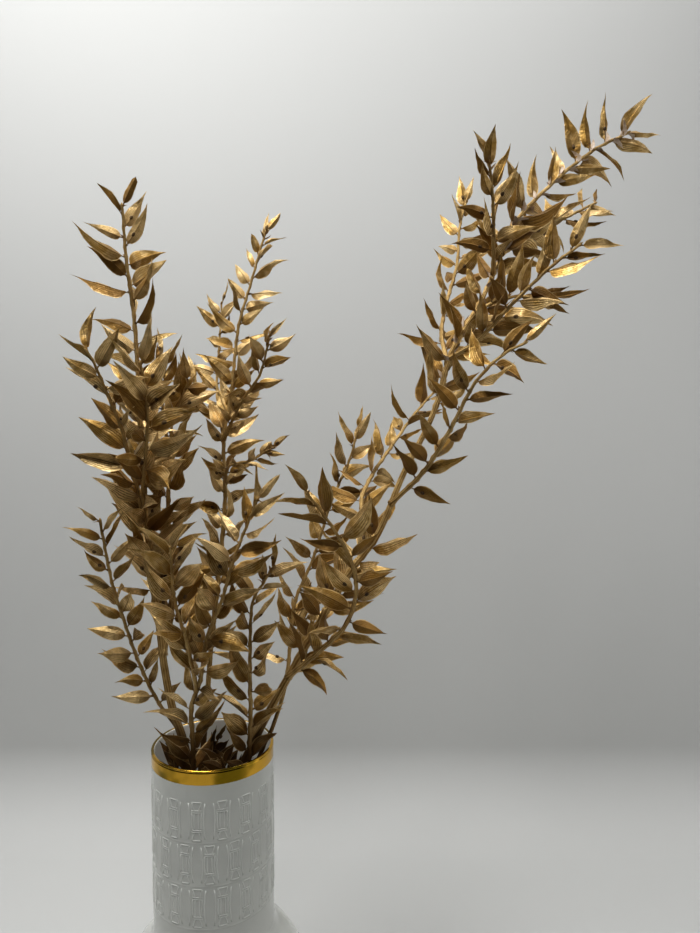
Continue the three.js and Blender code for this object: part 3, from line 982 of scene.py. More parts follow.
    def add_knobs(self, skin: Skin, leaves: Array) -> None:
        """Adds the knob that a fallen flower left on the midrib of some leaves.

        Args:
            skin: the piece's skin.
            leaves: the points of the knobbed leaves, as leaves, points and coordinates. Each
                knob is a dome over an oval, a cos(t) ahead and b sin(t) aside, c high, with a
                dimple on top and its foot sunk in the blade.
        """
        columns = len(self.columns)
        here = self.knob_row * columns + columns // 2
        foot = leaves[:, here]
        ahead = unit(leaves[:, here + columns] - leaves[:, here - columns])
        aside = leaves[:, here + 1] - leaves[:, here - 1]
        up = unit(np.cross(aside, ahead))
        aside = np.cross(ahead, up)
        long, wide, high = self.knob
        turn = np.arange(self.knob_sides) / self.knob_sides * 2 * math.pi
        reach, lift = np.array(self.knob_profile).T[..., None]
        x, y = reach * long * np.cos(turn), reach * wide * np.sin(turn)
        z = np.broadcast_to(lift * high, x.shape)
        grid = sum(
            size[None, ..., None] * way[:, None, None]
            for size, way in ((x, ahead), (y, -aside), (z, up))
        )
        rings = foot[:, None, None] + grid
        for dome, base, out in zip(rings, foot, up * high):
            points, quads, triangles = capped_tube(
                dome, (base + out * self.knob_foot)[None], (base + out * self.knob_dimple)[None]
            )
            sides = len(quads) + len(triangles)
            skin.add(points, quads, triangles, slot=np.ones(sides, int), **{
                key: np.zeros(len(points)) for key in ("tone", "knobbed", "deep")
            })

    def build(
        self, name: str, leaves: Sequence[Leaf], *materials: bpy.types.Material
    ) -> bpy.types.Object:
        """Makes the piece that holds all of a stem's leaves, and the knobs on them.

        Args:
            name: the piece's name.
            leaves: the leaves.
            *materials: the finish of the leaves, and of the knobs where there are any.

        Returns:
            The piece.
        """
        points, uv, values = self.surface(leaves)
        quads, triangles, crease = self.pattern()
        size, n = len(crease), len(leaves)
        shift = size * np.arange(n)[:, None, None]
        skin = Skin(name)
        skin.add(
            points, (quads + shift).reshape(-1, 4), (triangles + shift).reshape(-1, 3), uv,
            np.tile(crease, n), **values,
        )
        knobbed = values["knobbed"].reshape(n, size)[:, 0] > 0
        if knobbed.any():
            self.add_knobs(skin, points.reshape(n, size, 3)[knobbed])
        return skin.build(*materials)


GOLDEN_ANGLE = math.radians(137.5)


@dataclass(frozen=True)
class ScaleHabit:
    """How dry scales stand on a stick: degrees and millimetres, strays as shares.

    One clasps the stick below each leaf, or a tuft of them stands out round a branch's tip.
    """

    length: float
    half_width: float
    tilt: float
    below: float
    fold: float
    shortest: float = 0.8
    stray_length: float = 0.4
    arch: float = -0.12
    stray_sickle: float = 0.1
    sunk: float = 0.75
    tip_sickle: float = 0.05
    tip_radius: float = 0.3

    def clasping(self, leaf: Leaf) -> Leaf:
        """Puts a scale below a leaf; the fractions of the leaf's own sizes serve as its strays.

        Args:
            leaf: the leaf.

        Returns:
            The scale, as a small leaf of its own on the same stick.
        """
        ahead, face = tilted(leaf.along, leaf.outward, self.tilt)
        return replace(
            leaf, middle=leaf.middle - leaf.along * self.below, ahead=ahead, face=face,
            across=np.cross(ahead, face), radius=leaf.radius * self.sunk,
            length=self.length * (self.shortest + self.stray_length * (leaf.length % 1)),
            half_width=self.half_width, arch=self.arch,
            sickle=self.stray_sickle * (leaf.half_width % 1 - 0.5), fold=self.fold,
        )

    def tuft(self, grown: GrownBranch, count: int) -> list[Leaf]:
        """Puts scales round a branch's tip, each longer and tilted more than the last.

        Args:
            grown: the branch.
            count: how many scales.

        Returns:
            The scales, a golden angle apart.
        """
        tip = grown.route.point(np.array([1.0]))[0]
        along, right, back = (vectors[0] for vectors in grown.route.frame(np.array([1.0])))
        made = []
        for order in range(count):
            share = order / count
            outward = between(right, back, order * GOLDEN_ANGLE)
            ahead, face = tilted(along, outward, self.tilt * (0.5 + share))
            made.append(replace(
                grown.leaves[-1], middle=tip - along * self.below * share, bend=np.zeros(3),
                ahead=ahead, face=face, across=np.cross(ahead, face), radius=self.tip_radius,
                length=self.length * (self.shortest + self.stray_length * share),
                half_width=self.half_width, arch=self.arch, sickle=self.tip_sickle,
                fold=self.fold,
            ))
        return made


# What differs from stem to stem, how each kind of scale stands, and the surface of them all.
LEAF_VARIETY: dict[str, dict[str, Pair]] = {
    "stem_left_tall": {"tone": (0.05, 1.0)},
    "stem_right_low": {"tone": (0.2, 1.0)},
    "stem_right_tall": {"tone": (0.4, 1.0), "fullness": (0.8, 1.02)},
}
AXIL_SCALE = ScaleHabit(length=3.6, half_width=1.0, tilt=26, below=1.4, fold=34)
TUFTED = {
    "stem_centre_tall": ("main", "right", "low"), "stem_centre_short": ("main",),
    "stem_right_low": ("twig",), "stem_right_tall": ("upper_left",),
}
TUFT_SCALES = 9
TIP_SCALE = ScaleHabit(
    length=5.0, half_width=0.9, tilt=44, below=9.0, fold=25, shortest=0.7, stray_length=0.6,
    arch=0.1,
)
BRACTED_STEM = "stem_right_tall"
BRACTED_FROM = 0.7
PAPERY_BRACT = ScaleHabit(length=8.5, half_width=2.3, tilt=38, below=1.0, fold=30)
SCALY = Foliage(
    LeafRules(stalk=0.0), seed=17, rows=(0.0, 0.2, 0.5, 0.8), base_power=0.72,
    tip_power=(1.0, 1.0), fullness=(1.0, 1.0), tip_slimness=0.0, root_depth=0.3,
    stalk_half_width=0.5, thickness=0.3, curl_spread=0.3, wave=0.08, share_knobbed=0.0,
)


# ---------------------------------------------------------------- sticks


@dataclass
class Sticks:
    """The sticks of one stem: ribbed tubes, a little swollen where each leaf stands."""

    main_sides: int = 14
    twig_sides: int = 10
    row_spacing: float = 2.5
    fewest_rows: int = 8
    ribs: int = 5
    rib_height: float = 0.05
    swelling: float = 0.3
    swelling_reach: float = 1.3
    most_swelling: float = 1.2
    crotch: float = 0.7
    crotch_reach: float = 3.0
    zigzag: float = 0.22
    tip_length: float = 1.5

    def rings(self, grown: GrownBranch) -> tuple[Array, Array]:
        """Works out the rings of one stick.

        Args:
            grown: the branch.

        Returns:
            The points, as rows, sides and coordinates, and each row's place in millimetres.
            A point is the curve's, swung aside from leaf to leaf, plus r(s) (1 + ribs) outwards,
            where r tapers, and swells as a bell at each leaf and at the fork.
        """
        route, branch = grown.route, grown.branch
        rows = max(self.fewest_rows, math.ceil(route.length / self.row_spacing))
        share = np.linspace(0, 1, rows + 1)
        place = share * route.length
        _, right, back = route.frame(share)
        sides = self.twig_sides if branch.parent else self.main_sides
        turn = np.arange(sides) / sides * 2 * math.pi
        leaves = np.array(grown.places)[:, None]
        bells = np.exp(-(((place[None] - leaves) / self.swelling_reach) ** 2)).sum(axis=0)
        swing = np.interp(place, leaves[:, 0], np.where(np.arange(len(leaves)) % 2, 1.0, -1.0))
        swing = swing * np.clip((place - leaves[0]) / branch.spacing, 0, 1) * self.zigzag
        radius = branch.radii[0] + (branch.radii[1] - branch.radii[0]) * share
        radius = radius * (1 + self.swelling * np.clip(bells, 0, self.most_swelling))
        if branch.parent:
            radius = radius * (1 + self.crotch * np.exp(-place / self.crotch_reach))
        ribbed = 1 + self.rib_height * np.cos(self.ribs * turn)
        outward = between(right[:, None], back[:, None], turn[None, :, None])
        middle = route.point(share) + right * swing[:, None]
        rings = middle[:, None] + outward * (radius[:, None] * ribbed)[..., None]
        if not branch.parent:
            rings[0, :, 2] = middle[0, 2]
        return rings, place

    def build(
        self, name: str, branches: Sequence[GrownBranch], material: bpy.types.Material
    ) -> bpy.types.Object:
        """Makes the piece that holds all of a stem's sticks.

        Args:
            name: the piece's name.
            branches: the stem's branches.
            material: the finish.

        Returns:
            The piece.
        """
        skin = Skin(name)
        for grown in branches:
            rings, place = self.rings(grown)
            rows, sides = rings.shape[:2]
            along = grown.route.tangent(np.array([1.0]))[0]
            tip = rings[-1].mean(axis=0) + along * self.tip_length
            points, quads, triangles = capped_tube(rings, rings[0].mean(axis=0), tip)
            around = np.broadcast_to(np.arange(sides) / sides, (rows, sides))
            ahead = np.broadcast_to(place[:, None], (rows, sides))
            uv = np.stack([around, ahead], axis=-1).reshape(-1, 2)
            uv = np.vstack([uv, [0, 0], [0, place[-1]]])
            # The sticks carry their painted shade in the vase's mouth as a value.
            skin.add(points, quads, triangles, uv, deep=mouth_shade_amount(points))
        return skin.build(material)


# ---------------------------------------------------------------- vase


@dataclass
class Vase:
    """The vase: a turned body with a long neck, its gold band and its low relief."""

    foot_radius: float = 58.0
    foot_bevel: float = 3.0
    wall: float = 3.5
    body_knots: tuple[Pair, ...] = (
        (61, 3), (70, 32), (73, 60), (65, 84), (54.5, 102), (44.5, 112), (NECK_RADIUS, 119),
    )
    sides: int = 144
    lip_wall: float = 2.3
    band_height: float = 9.4
    band_proud: float = 0.06
    bead_height: float = 1.3
    bead_proud: float = 0.12
    groove_depth: float = 0.22
    ring_drop: float = 1.8
    ring_height: float = 0.13
    ring_reach: float = 0.35
    repeats: int = 16
    row_tops: tuple[float, ...] = (-20.6, -49.2, -77.8)
    first_turn: float = 18.4
    motif_height: float = 25.0
    motif_half_width: float = 3.1
    window_half_width: float = 1.4
    motif_end: float = 5.4
    motif_bar: float = 1.3
    bar_lap: float = 0.2
    panel_half_width: float = 4.5
    panel_bow: float = 1.0
    panel_shorter: float = 0.6
    line_steps: int = 9
    line_half_width: float = 0.45
    line_height: float = 0.34
    line_sunk: float = 0.3

    def turned_curve(self, depth: float, count: int = 40) -> Array:
        """Works out the round body's profile.

        Args:
            depth: how far below the outside, in millimetres.
            count: how many points.

        Returns:
            The smooth curve through the knots, set in along its normals: radius and height.
        """
        knots = np.array(self.body_knots, dtype=float)
        place = np.linspace(0, len(knots) - 1, count)
        curve, slope = spline(np.vstack([knots[:1], knots, knots[-1:]]), place)
        slope = unit(slope)
        return curve + np.stack([-slope[:, 1], slope[:, 0]], axis=1) * depth

    def neck(self) -> Array:
        """Works out the neck's profile, with a low ring below each row of the relief.

        Returns:
            Radius and height: the straight wall, swelling as a bell at each ring.
        """
        offsets = np.array([-1.2, -0.5, -0.25, 0, 0.25, 0.5, 1.2])
        swell = self.ring_height * np.exp(-((offsets / self.ring_reach) ** 2))
        bottoms = [row - self.motif_height - self.ring_drop for row in sorted(self.row_tops)]
        return np.vstack([
            np.stack([NECK_RADIUS + swell, RIM_HEIGHT + bottom + offsets], axis=1)
            for bottom in bottoms
        ])

    def band(self) -> Array:
        """Returns the gold band's profile, radius and height.

        Returns:
            Two rows of bare neck, the band's foot and face, the groove over it, and the bead
            round the lip, a half circle that leans inwards.
        """
        proud, low = self.band_proud, -self.groove_depth
        face = [(0, -6), (0, -0.3), (0, 0), (proud, 0.05), (proud, 0.4)]
        groove = [
            (proud, -0.8), (proud, -0.45), (low / 2, -0.3), (low, -0.12), (low / 2, 0.05),
        ]
        half = self.bead_height / 2
        arc = np.radians(np.array([-60, -30, 0, 25, 50, 75, 90]))
        bead = np.stack([half * np.cos(arc), half * np.sin(arc)], axis=1)
        return np.vstack([
            np.array(face) + [NECK_RADIUS, RIM_HEIGHT - self.band_height],
            np.array(groove) + [NECK_RADIUS, RIM_HEIGHT - self.bead_height],
            bead + [NECK_RADIUS + self.bead_proud - half, RIM_HEIGHT - half],
        ])

    def profile(self) -> tuple[Array, Array]:
        """Returns the whole profile, from the foot's rim over the lip to the inner floor.

        Returns:
            The points, radius and height, and the zone that starts at each.
        """
        bevel = np.linspace(0, math.pi / 2, 5)
        foot = np.stack([np.sin(bevel), 1 - np.cos(bevel)], axis=1) * self.foot_bevel
        foot = foot + [self.foot_radius, 0]
        outside = np.vstack([foot, self.turned_curve(0)[1:], self.neck()])
        band = self.band()
        thin, inner = NECK_RADIUS - self.lip_wall, NECK_RADIUS - self.wall
        lip = np.array([
            [thin + 1.0, -0.04], [thin + 0.5, -0.25], [thin + 0.15, -0.7], [thin, -1.5],
            [thin - 0.3, -12], [inner, -40], [inner, -90],
        ])
        inside = self.turned_curve(self.wall, 24)[::-1]
        inside = inside[inside[:, 1] > self.wall + self.foot_bevel]
        floor = [[self.foot_radius - self.wall, self.wall]]
        points = np.vstack([outside, band, lip + [0, RIM_HEIGHT], inside, floor])
        first, last = len(outside) + 2, len(outside) + len(band) + 1
        zone = np.full(len(points), Zone.OUTSIDE, int)
        zone[first:last] = Zone.BAND
        zone[last:] = Zone.INSIDE
        return points, zone

    def body(self, *finishes: bpy.types.Material) -> bpy.types.Object:
        """Makes the turned vase: the profile carried round the axis and closed at both poles.

        Args:
            *finishes: the materials, in the order of the zones.

        Returns:
            The piece.
        """
        profile, zone = self.profile()
        turn = np.arange(self.sides) / self.sides * 2 * math.pi
        around = np.stack([np.cos(turn), np.sin(turn), np.zeros(self.sides)], axis=1)
        rings = profile[:, None, :1] * around
        rings[..., 2] += profile[:, None, 1]
        points, quads, triangles = capped_tube(
            rings, np.array([[0.0, 0, 0]]), np.array([[0.0, 0, self.wall]])
        )
        slot = np.repeat(np.concatenate([zone[:-1], zone[[0, -1]]]), self.sides)
        skin = Skin("vase_body")
        skin.add(points, quads, triangles, slot=slot)
        return skin.build(*finishes)

    def motif_lines(self) -> Array:
        """Returns the raised lines of one motif and of the panel beside it.

        Returns:
            Lines, each a row of points across and down from the middle of the motif's top, in
            millimetres: two flared ends, two bars, a tall window with two mullions, and the
            panel's two sides, bowed by the square of the way from their middle.
        """
        high, wide, narrow = self.motif_height, self.motif_half_width, self.window_half_width
        end, window = self.motif_end, self.motif_end + self.motif_bar
        lapped = wide + self.bar_lap
        flat = [(wide, 0.0), (lapped, end), (lapped, window)]
        flat += [(half, high - down) for half, down in flat]
        ends = np.array(
            [((-half, down), (half, down)) for half, down in flat]
            + [((x, window), (x, high - window)) for x in (-wide, wide, -narrow, narrow)]
            + [((side * wide, 0), (side * narrow, end)) for side in (-1, 1)]
            + [((side * narrow, high - end), (side * wide, high)) for side in (-1, 1)]
        )
        down = np.linspace(0, 1, self.line_steps)
        share = down[:, None]
        lines = ends[:, :1] * (1 - share) + ends[:, 1:] * share
        bowed = self.panel_half_width + self.panel_bow * (2 * down - 1) ** 2
        fall = self.panel_shorter + down * (high - 2 * self.panel_shorter)
        panels = np.stack([np.stack([side * bowed, fall], axis=1) for side in (-1, 1)])
        return np.concatenate([lines, panels])

    def relief(self, glaze: bpy.types.Material) -> bpy.types.Object:
        """Makes the relief: low round-backed lines, wrapped round the neck in staggered rows.

        Each line's section is a bell, h cos^2 of the way across: six points over its back and
        two sunk in the wall. Both ends of a line fade into the wall.

        Args:
            glaze: the finish.

        Returns:
            The piece.
        """
        motif = self.motif_lines()
        step = 360 / self.repeats
        turns = np.concatenate([
            (np.arange(self.repeats) + 0.5 * (row % 2)) * step + self.first_turn
            for row in range(len(self.row_tops))
        ])
        tops = np.repeat(np.array(self.row_tops) + RIM_HEIGHT, self.repeats)
        slope = np.gradient(motif, axis=1)
        normal = unit(np.stack([-slope[..., 1], slope[..., 0]], axis=-1))
        across = np.array([-1, -0.6, -0.25, 0.25, 0.6, 1, 0.7, -0.7])
        section = self.line_height * np.cos(across * math.pi / 2) ** 2
        section[6:] = -self.line_sunk
        fade = np.ones((len(motif[0]), 1))
        fade[[0, -1]] = 0.0
        aside = across[:, None] * self.line_half_width
        flat = motif[:, :, None] + normal[:, :, None] * aside
        angle = flat[..., 0] / NECK_RADIUS + np.radians(turns)[:, None, None, None]
        z = tops[:, None, None, None] - flat[..., 1]
        radius = NECK_RADIUS + np.where(section > 0, section * fade, section)
        points = np.stack([radius * np.sin(angle), -radius * np.cos(angle), z], axis=-1)
        rows, sides = points.shape[2:4]
        grids = points.reshape(-1, rows * sides, 3)
        count = len(grids)
        caps = np.array([[0, 1, 6, 7], [1, 2, 5, 6], [2, 3, 4, 5]])
        ends = np.vstack([caps, (caps + (rows - 1) * sides)[:, ::-1]])
        quads = np.vstack([ring_grid(rows, sides)[:, ::-1], ends])
        shift = rows * sides * np.arange(count)[:, None, None]
        crease = np.tile(np.array([1, 0, 0, 0, 0, 2, 0, 0]), rows * count)
        skin = Skin("vase_relief")
        skin.add(
            grids.reshape(-1, 3), (quads[None] + shift).reshape(-1, 4), np.empty((0, 3), int),
            crease=crease,
        )
        return skin.build(glaze)

    def build(
        self, relief: bpy.types.Material, *body: bpy.types.Material
    ) -> list[bpy.types.Object]:
        """Makes all the pieces of the vase from the relief's finish and the body's three."""
        return [self.body(*body), self.relief(relief)]


# ---------------------------------------------------------------- finishes


def add_node(tree: Tree, kind: str, **settings: object) -> Node:
    """Adds a node to a tree.

    Args:
        tree: the tree.
        kind: the node's type.
        **settings: values of its inputs by name, or of its own properties.

    Returns:
        The node.
    """
    made = tree.nodes.new(kind)
    for key, value in settings.items():
        if hasattr(made, key):
            setattr(made, key, value)
        else:
            made.inputs[key.replace("_", " ")].default_value = value
    return made


class Value:
    """A number that a shader's nodes work out at each point, with the usual arithmetic."""

    def __init__(self, socket: Socket) -> None:
        """Wraps the output of a node."""
        self.socket = socket
        self.tree: Tree = socket.id_data

    def step(self, operation: str, *others: "Value | float") -> "Value":
        """Adds one step of arithmetic.

        Args:
            operation: the operation's name.
            *others: what else goes into it.

        Returns:
            The result.
        """
        made = add_node(self.tree, "ShaderNodeMath", operation=operation)
        for given, value in zip(made.inputs, (self, *others)):
            if isinstance(value, Value):
                self.tree.links.new(value.socket, given)
            else:
                given.default_value = value
        return Value(made.outputs[0])

    def __add__(self, other: "Value | float") -> "Value":
        """Returns the sum."""
        return self.step("ADD", other)

    def __sub__(self, other: "Value | float") -> "Value":
        """Returns the difference."""
        return self.step("SUBTRACT", other)

    def __mul__(self, other: "Value | float") -> "Value":
        """Returns the product."""
        return self.step("MULTIPLY", other)

    def spread(self, low: float, high: float) -> "Value":
        """Returns low where this is 0, high where it is 1, and evenly between."""
        return self * (high - low) + low

    def ramp(self, low: float, high: float) -> "Value":
        """Makes a smooth step of the value.

        Args:
            low: where the step starts.
            high: where it ends.

        Returns:
            3 t^2 - 2 t^3, where t runs from 0 at low to 1 at high.
        """
        made = add_node(
            self.tree, "ShaderNodeMapRange", interpolation_type="SMOOTHSTEP",
            From_Min=low, From_Max=high,
        )
        self.tree.links.new(self.socket, made.inputs["Value"])
        return Value(made.outputs[0])

    def mix(self, low: "Socket | Colour", high: "Socket | Colour") -> Socket:
        """Blends two colours by the value.

        Args:
            low: the colour where the value is 0.
            high: the colour where it is 1.

        Returns:
            The colour.
        """
        made = add_node(self.tree, "ShaderNodeMix", data_type="RGBA")
        self.tree.links.new(self.socket, made.inputs["Factor"])
        for name, colour in (("A", low), ("B", high)):
            given = next(s for s in made.inputs if s.name == name and s.type == "RGBA")
            if isinstance(colour, tuple):
                given.default_value = (*colour, 1)
            else:
                self.tree.links.new(colour, given)
        return next(s for s in made.outputs if s.type == "RGBA")


def new_group(name: str, ins: dict[str, float], outs: Sequence[str]) -> tuple[Tree, Node, Node]:
    """Makes an empty node group.

    Args:
        name: its name.
        ins: its inputs and their usual values.
        outs: its outputs.

    Returns:
        The group, its input node and its output node.
    """
    group = bpy.data.node_groups.new(name, "ShaderNodeTree")
    for key, value in ins.items():
        socket = group.interface.new_socket(key, in_out="INPUT", socket_type="NodeSocketFloat")
        socket.default_value = value
    for key in outs:
        group.interface.new_socket(key, in_out="OUTPUT", socket_type="NodeSocketFloat")
    return group, group.nodes.new("NodeGroupInput"), group.nodes.new("NodeGroupOutput")


# Where a noise counts as none and as full, and the scale of the one that bends the lines.
NOISE_RANGE = (0.3, 0.7)
WANDER_SCALE = 160.0


def patchiness_group() -> Tree:
    """Makes the group of two noises over an object: broad patches and fine mottling.

    Returns:
        The group: each noise from 0 to 1, with a scale of its own.
    """
    group, given, out = new_group(
        "patchiness", {"Patch Scale": 40.0, "Mottle Scale": 600.0}, ("Patch", "Mottle")
    )
    where = add_node(group, "ShaderNodeTexCoord")
    for key in ("Patch", "Mottle"):
        noise = add_node(group, "ShaderNodeTexNoise", Detail=3.0)
        group.links.new(where.outputs["Object"], noise.inputs["Vector"])
        group.links.new(given.outputs[f"{key} Scale"], noise.inputs["Scale"])
        value = Value(noise.outputs["Fac"]).ramp(*NOISE_RANGE)
        group.links.new(value.socket, out.inputs[key])
    return group


def surface_place(tree: Tree) -> tuple[Value, Value]:
    """Reads a skin's own two coordinates.

    Args:
        tree: the tree of a material or a group.

    Returns:
        The place across a blade or round a stick, and the place along it.
    """
    uv = add_node(tree, "ShaderNodeUVMap", uv_map="surface")
    split = add_node(tree, "ShaderNodeSeparateXYZ")
    tree.links.new(uv.outputs[0], split.inputs[0])
    return Value(split.outputs["X"]), Value(split.outputs["Y"])


def lines_group() -> Tree:
    """Makes the group of lines along a surface, which wander with a noise.

    Returns:
        The group: (1 + cos(2 pi (count x + wander noise))) / 2, x being the place across.
    """
    group, given, out = new_group("lines_along", {"Count": 6.0, "Wander": 0.25}, ("Lines",))
    where = add_node(group, "ShaderNodeTexCoord")
    noise = add_node(group, "ShaderNodeTexNoise", Scale=WANDER_SCALE, Detail=2.0)
    group.links.new(where.outputs["Object"], noise.inputs["Vector"])
    swing = Value(noise.outputs["Fac"]) * Value(given.outputs["Wander"])
    turns = surface_place(group)[0] * Value(given.outputs["Count"]) + swing
    wave = (turns * (2 * math.pi)).step("COSINE")
    group.links.new((wave * 0.5 + 0.5).socket, out.inputs["Lines"])
    return group


@dataclass(frozen=True)
class Effects:
    """The node groups that the finishes share."""

    patchiness: Tree
    lines: Tree


class Paint:
    """One material in the making: its tree, its Principled shader and two noises."""

    def __init__(self, name: str, effects: Effects, patch: float, mottle: float) -> None:
        """Starts a material.

        Args:
            name: the material's name.
            effects: the shared groups.
            patch: the scale of its broad patches.
            mottle: the scale of its fine mottling.
        """
        self.made = bpy.data.materials.new(name)
        self.made.use_nodes = True
        self.tree = self.made.node_tree
        self.shading = self.tree.nodes["Principled BSDF"]
        noises = self.group(effects.patchiness, Patch_Scale=patch, Mottle_Scale=mottle)
        self.patch = Value(noises.outputs["Patch"])
        self.mottle = Value(noises.outputs["Mottle"])

    def group(self, group: Tree, **values: float) -> Node:
        """Places a group.

        Args:
            group: the group.
            **values: the values of its inputs by name.

        Returns:
            The node.
        """
        made = self.tree.nodes.new("ShaderNodeGroup")
        made.node_tree = group
        for key, value in values.items():
            made.inputs[key.replace("_", " ")].default_value = value
        return made

    def attribute(self, name: str) -> Value:
        """Returns a named value of the mesh."""
        node = add_node(self.tree, "ShaderNodeAttribute", attribute_name=name)
        return Value(node.outputs["Fac"])

    def set(self, name: str, value: "Value | Socket | float") -> None:
        """Gives an input of the shader its value.

        Args:
            name: the input's name.
            value: a constant, or what is led into it.
        """
        given = self.shading.inputs[name]
        if isinstance(value, (int, float)):
            given.default_value = value
        else:
            self.tree.links.new(value.socket if isinstance(value, Value) else value, given)

    def bump(self, height: Value, depth: float, strength: float) -> None:
        """Leads a height into the shader's normal.

        Args:
            height: the height, from 0 to 1.
            depth: how deep the whole height is, in millimetres.
            strength: how much of it shows.
        """
        bump = add_node(self.tree, "ShaderNodeBump", Distance=depth * MM, Strength=strength)
        self.tree.links.new(height.socket, bump.inputs["Height"])
        self.set("Normal", bump.outputs["Normal"])


@dataclass(frozen=True)
class GildedLeaf:
    """Metallic paint on a dried leaf: fine veins, patches, brown where the paint is thin.

    A range says where an effect starts and where it is full, and a share how much of it shows.
    A leaf's tone, from 0 to 1, is its own. The relief is its depth, in millimetres, and strength.
    """

    pale: Colour = (0.92, 0.70, 0.37)
    bronze: Colour = (0.44, 0.277, 0.084)
    brown: Colour = (0.17, 0.088, 0.018)
    satin: Colour = (0.30, 0.16, 0.028)
    halo: Colour = (0.10, 0.055, 0.02)
    # painted shade: the dark brown that leaves take deep in the vase's mouth
    bare: Colour = (0.09, 0.037, 0.006)
    patch_scale: float = 120.0
    mottle_scale: float = 700.0
    roughness: Pair = (0.44, 0.58)
    spot_roughness: float = 0.3
    metallic: float = 0.93
    tone_weight: float = 0.7
    patch_weight: float = 0.5
    bronze_range: Pair = (0.2, 0.95)
    satin_range: Pair = (0.8, 0.88)
    satin_share: float = 0.9
    satin_dullness: float = 0.5
    # How much of the painted shade in the vase's mouth shows, and how much it dulls the metal.
    deep_share: float = 0.9
    deep_dullness: float = 0.12
    vein_count: float = 10.0
    vein_wander: float = 0.42
    vein_range: Pair = (0.5, 0.88)
    vein_share: float = 0.84
    vein_by_mottle: Pair = (0.6, 1.1)
    vein_by_leaf: Pair = (0.4, 1.05)
    vein_cycles: float = 9.0
    # Painted shade towards each leaf's root, by the stick.
    root_range: Pair = (0.42, 0.04)
    root_share: float = 0.62
    # A thin line of painted shade along the midrib crease, which is also raised in the relief.
    rib_range: Pair = (0.05, 0.012)
    rib_share: float = 0.4
    # A painted highlight: a pale line along each leaf's edges.
    edge_range: Pair = (0.41, 0.47)
    edge_share: float = 0.45
    spot_at: float = 0.24
    spot_size: Pair = (0.12, 0.055)
    spot_range: Pair = (1.3, 0.5)
    spot_share: float = 0.8
    relief_of_patch: float = 2.2
    relief_of_rib: float = 1.2
    relief_of_mottle: float = 0.35
    relief: Pair = (0.3, 0.9)

    def material(self, effects: Effects) -> bpy.types.Material:
        """Makes the material.

        Args:
            effects: the shared groups.

        Returns:
            The material.
        """
        paint = Paint("gilded_leaf", effects, self.patch_scale, self.mottle_scale)
        veins = paint.group(effects.lines, Count=self.vein_count, Wander=self.vein_wander)
        tone, knobbed, deep = (paint.attribute(name) for name in ("tone", "knobbed", "deep"))
        across, along = surface_place(paint.tree)
        off = (across - 0.5).step("ABSOLUTE")
        thin = tone.ramp(*self.satin_range)
        vein = Value(veins.outputs["Lines"]).ramp(*self.vein_range)
        own = (tone * self.vein_cycles).step("FRACT").spread(*self.vein_by_leaf)
        groove = vein * paint.mottle.spread(*self.vein_by_mottle) * own
        # The midrib's line: a ridge in the relief and painted shade in the colour.
        rib = off.ramp(*self.rib_range)
        aside = off.step("DIVIDE", self.spot_size[0])
        ahead = (along - self.spot_at).step("DIVIDE", self.spot_size[1])
        far = aside * aside + ahead * ahead
        spot = far.ramp(*self.spot_range) * knobbed * self.spot_share

        aged = tone * self.tone_weight + paint.patch * self.patch_weight
        colour = aged.ramp(*self.bronze_range).mix(self.pale, self.bronze)
        for share, over in (
            (thin * self.satin_share, self.satin),
            # painted shade deep in the vase's mouth
            (deep * self.deep_share, self.bare),
            (groove * self.vein_share, self.brown),
            # painted shade at the leaf's root
            (along.ramp(*self.root_range) * self.root_share, self.brown),
            # painted shade along the midrib crease
            (rib * self.rib_share, self.brown),
            # painted highlight along the edges
            (off.ramp(*self.edge_range) * self.edge_share, self.pale),
            (spot, self.halo),
        ):
            colour = share.mix(colour, over)
        paint.set("Base Color", colour)
        rough = paint.mottle.spread(*self.roughness)
        paint.set("Roughness", rough + spot * self.spot_roughness)
        dull = (thin * self.satin_dullness).step("MAXIMUM", spot)
        # The painted shade in the vase's mouth also dulls the metal a little.
        dull = (deep * self.deep_dullness).step("MAXIMUM", dull)
        paint.set("Metallic", dull.spread(self.metallic, 0.0))
        height = paint.patch * self.relief_of_patch + rib * self.relief_of_rib
        height = height + paint.mottle * self.relief_of_mottle + vein.spread(1.0, 0.0)
        paint.bump(height, *self.relief)
        return paint.made


@dataclass(frozen=True)
class GildedStick:
    """Metallic paint on a dried stem: lengthwise furrows, dull and a little darker."""

    pale: Colour = (0.64, 0.455, 0.20)
    dark: Colour = (0.24, 0.145, 0.045)
    # painted shade: the dark brown that sticks take deep in the vase's mouth
    bare: Colour = (0.12, 0.06, 0.015)
    patch_scale: float = 90.0
    mottle_scale: float = 900.0
    roughness: Pair = (0.46, 0.64)
    metallic: float = 0.7
    # How much of the painted shade in the vase's mouth shows.
    deep_share: float = 0.9
    furrows: float = 9.0
    furrow_wander: float = 0.6
    furrow_weight: float = 0.55
    patch_weight: float = 0.5
    relief: Pair = (0.25, 0.8)

    def material(self, effects: Effects) -> bpy.types.Material:
        """Makes the material.

        Args:
            effects: the shared groups.

        Returns:
            The material.
        """
        paint = Paint("gilded_stick", effects, self.patch_scale, self.mottle_scale)
        furrows = paint.group(effects.lines, Count=self.furrows, Wander=self.furrow_wander)
        furrow = Value(furrows.outputs["Lines"])
        shade = furrow * self.furrow_weight + paint.patch * self.patch_weight
        # Painted shade: the sticks darken deep in the vase's mouth.
        deep = paint.attribute("deep") * self.deep_share
        paint.set("Base Color", deep.mix(shade.mix(self.pale, self.dark), self.bare))
        paint.set("Roughness", paint.mottle.spread(*self.roughness))
        paint.set("Metallic", self.metallic)
        paint.bump(paint.mottle - furrow, *self.relief)
        return paint.made


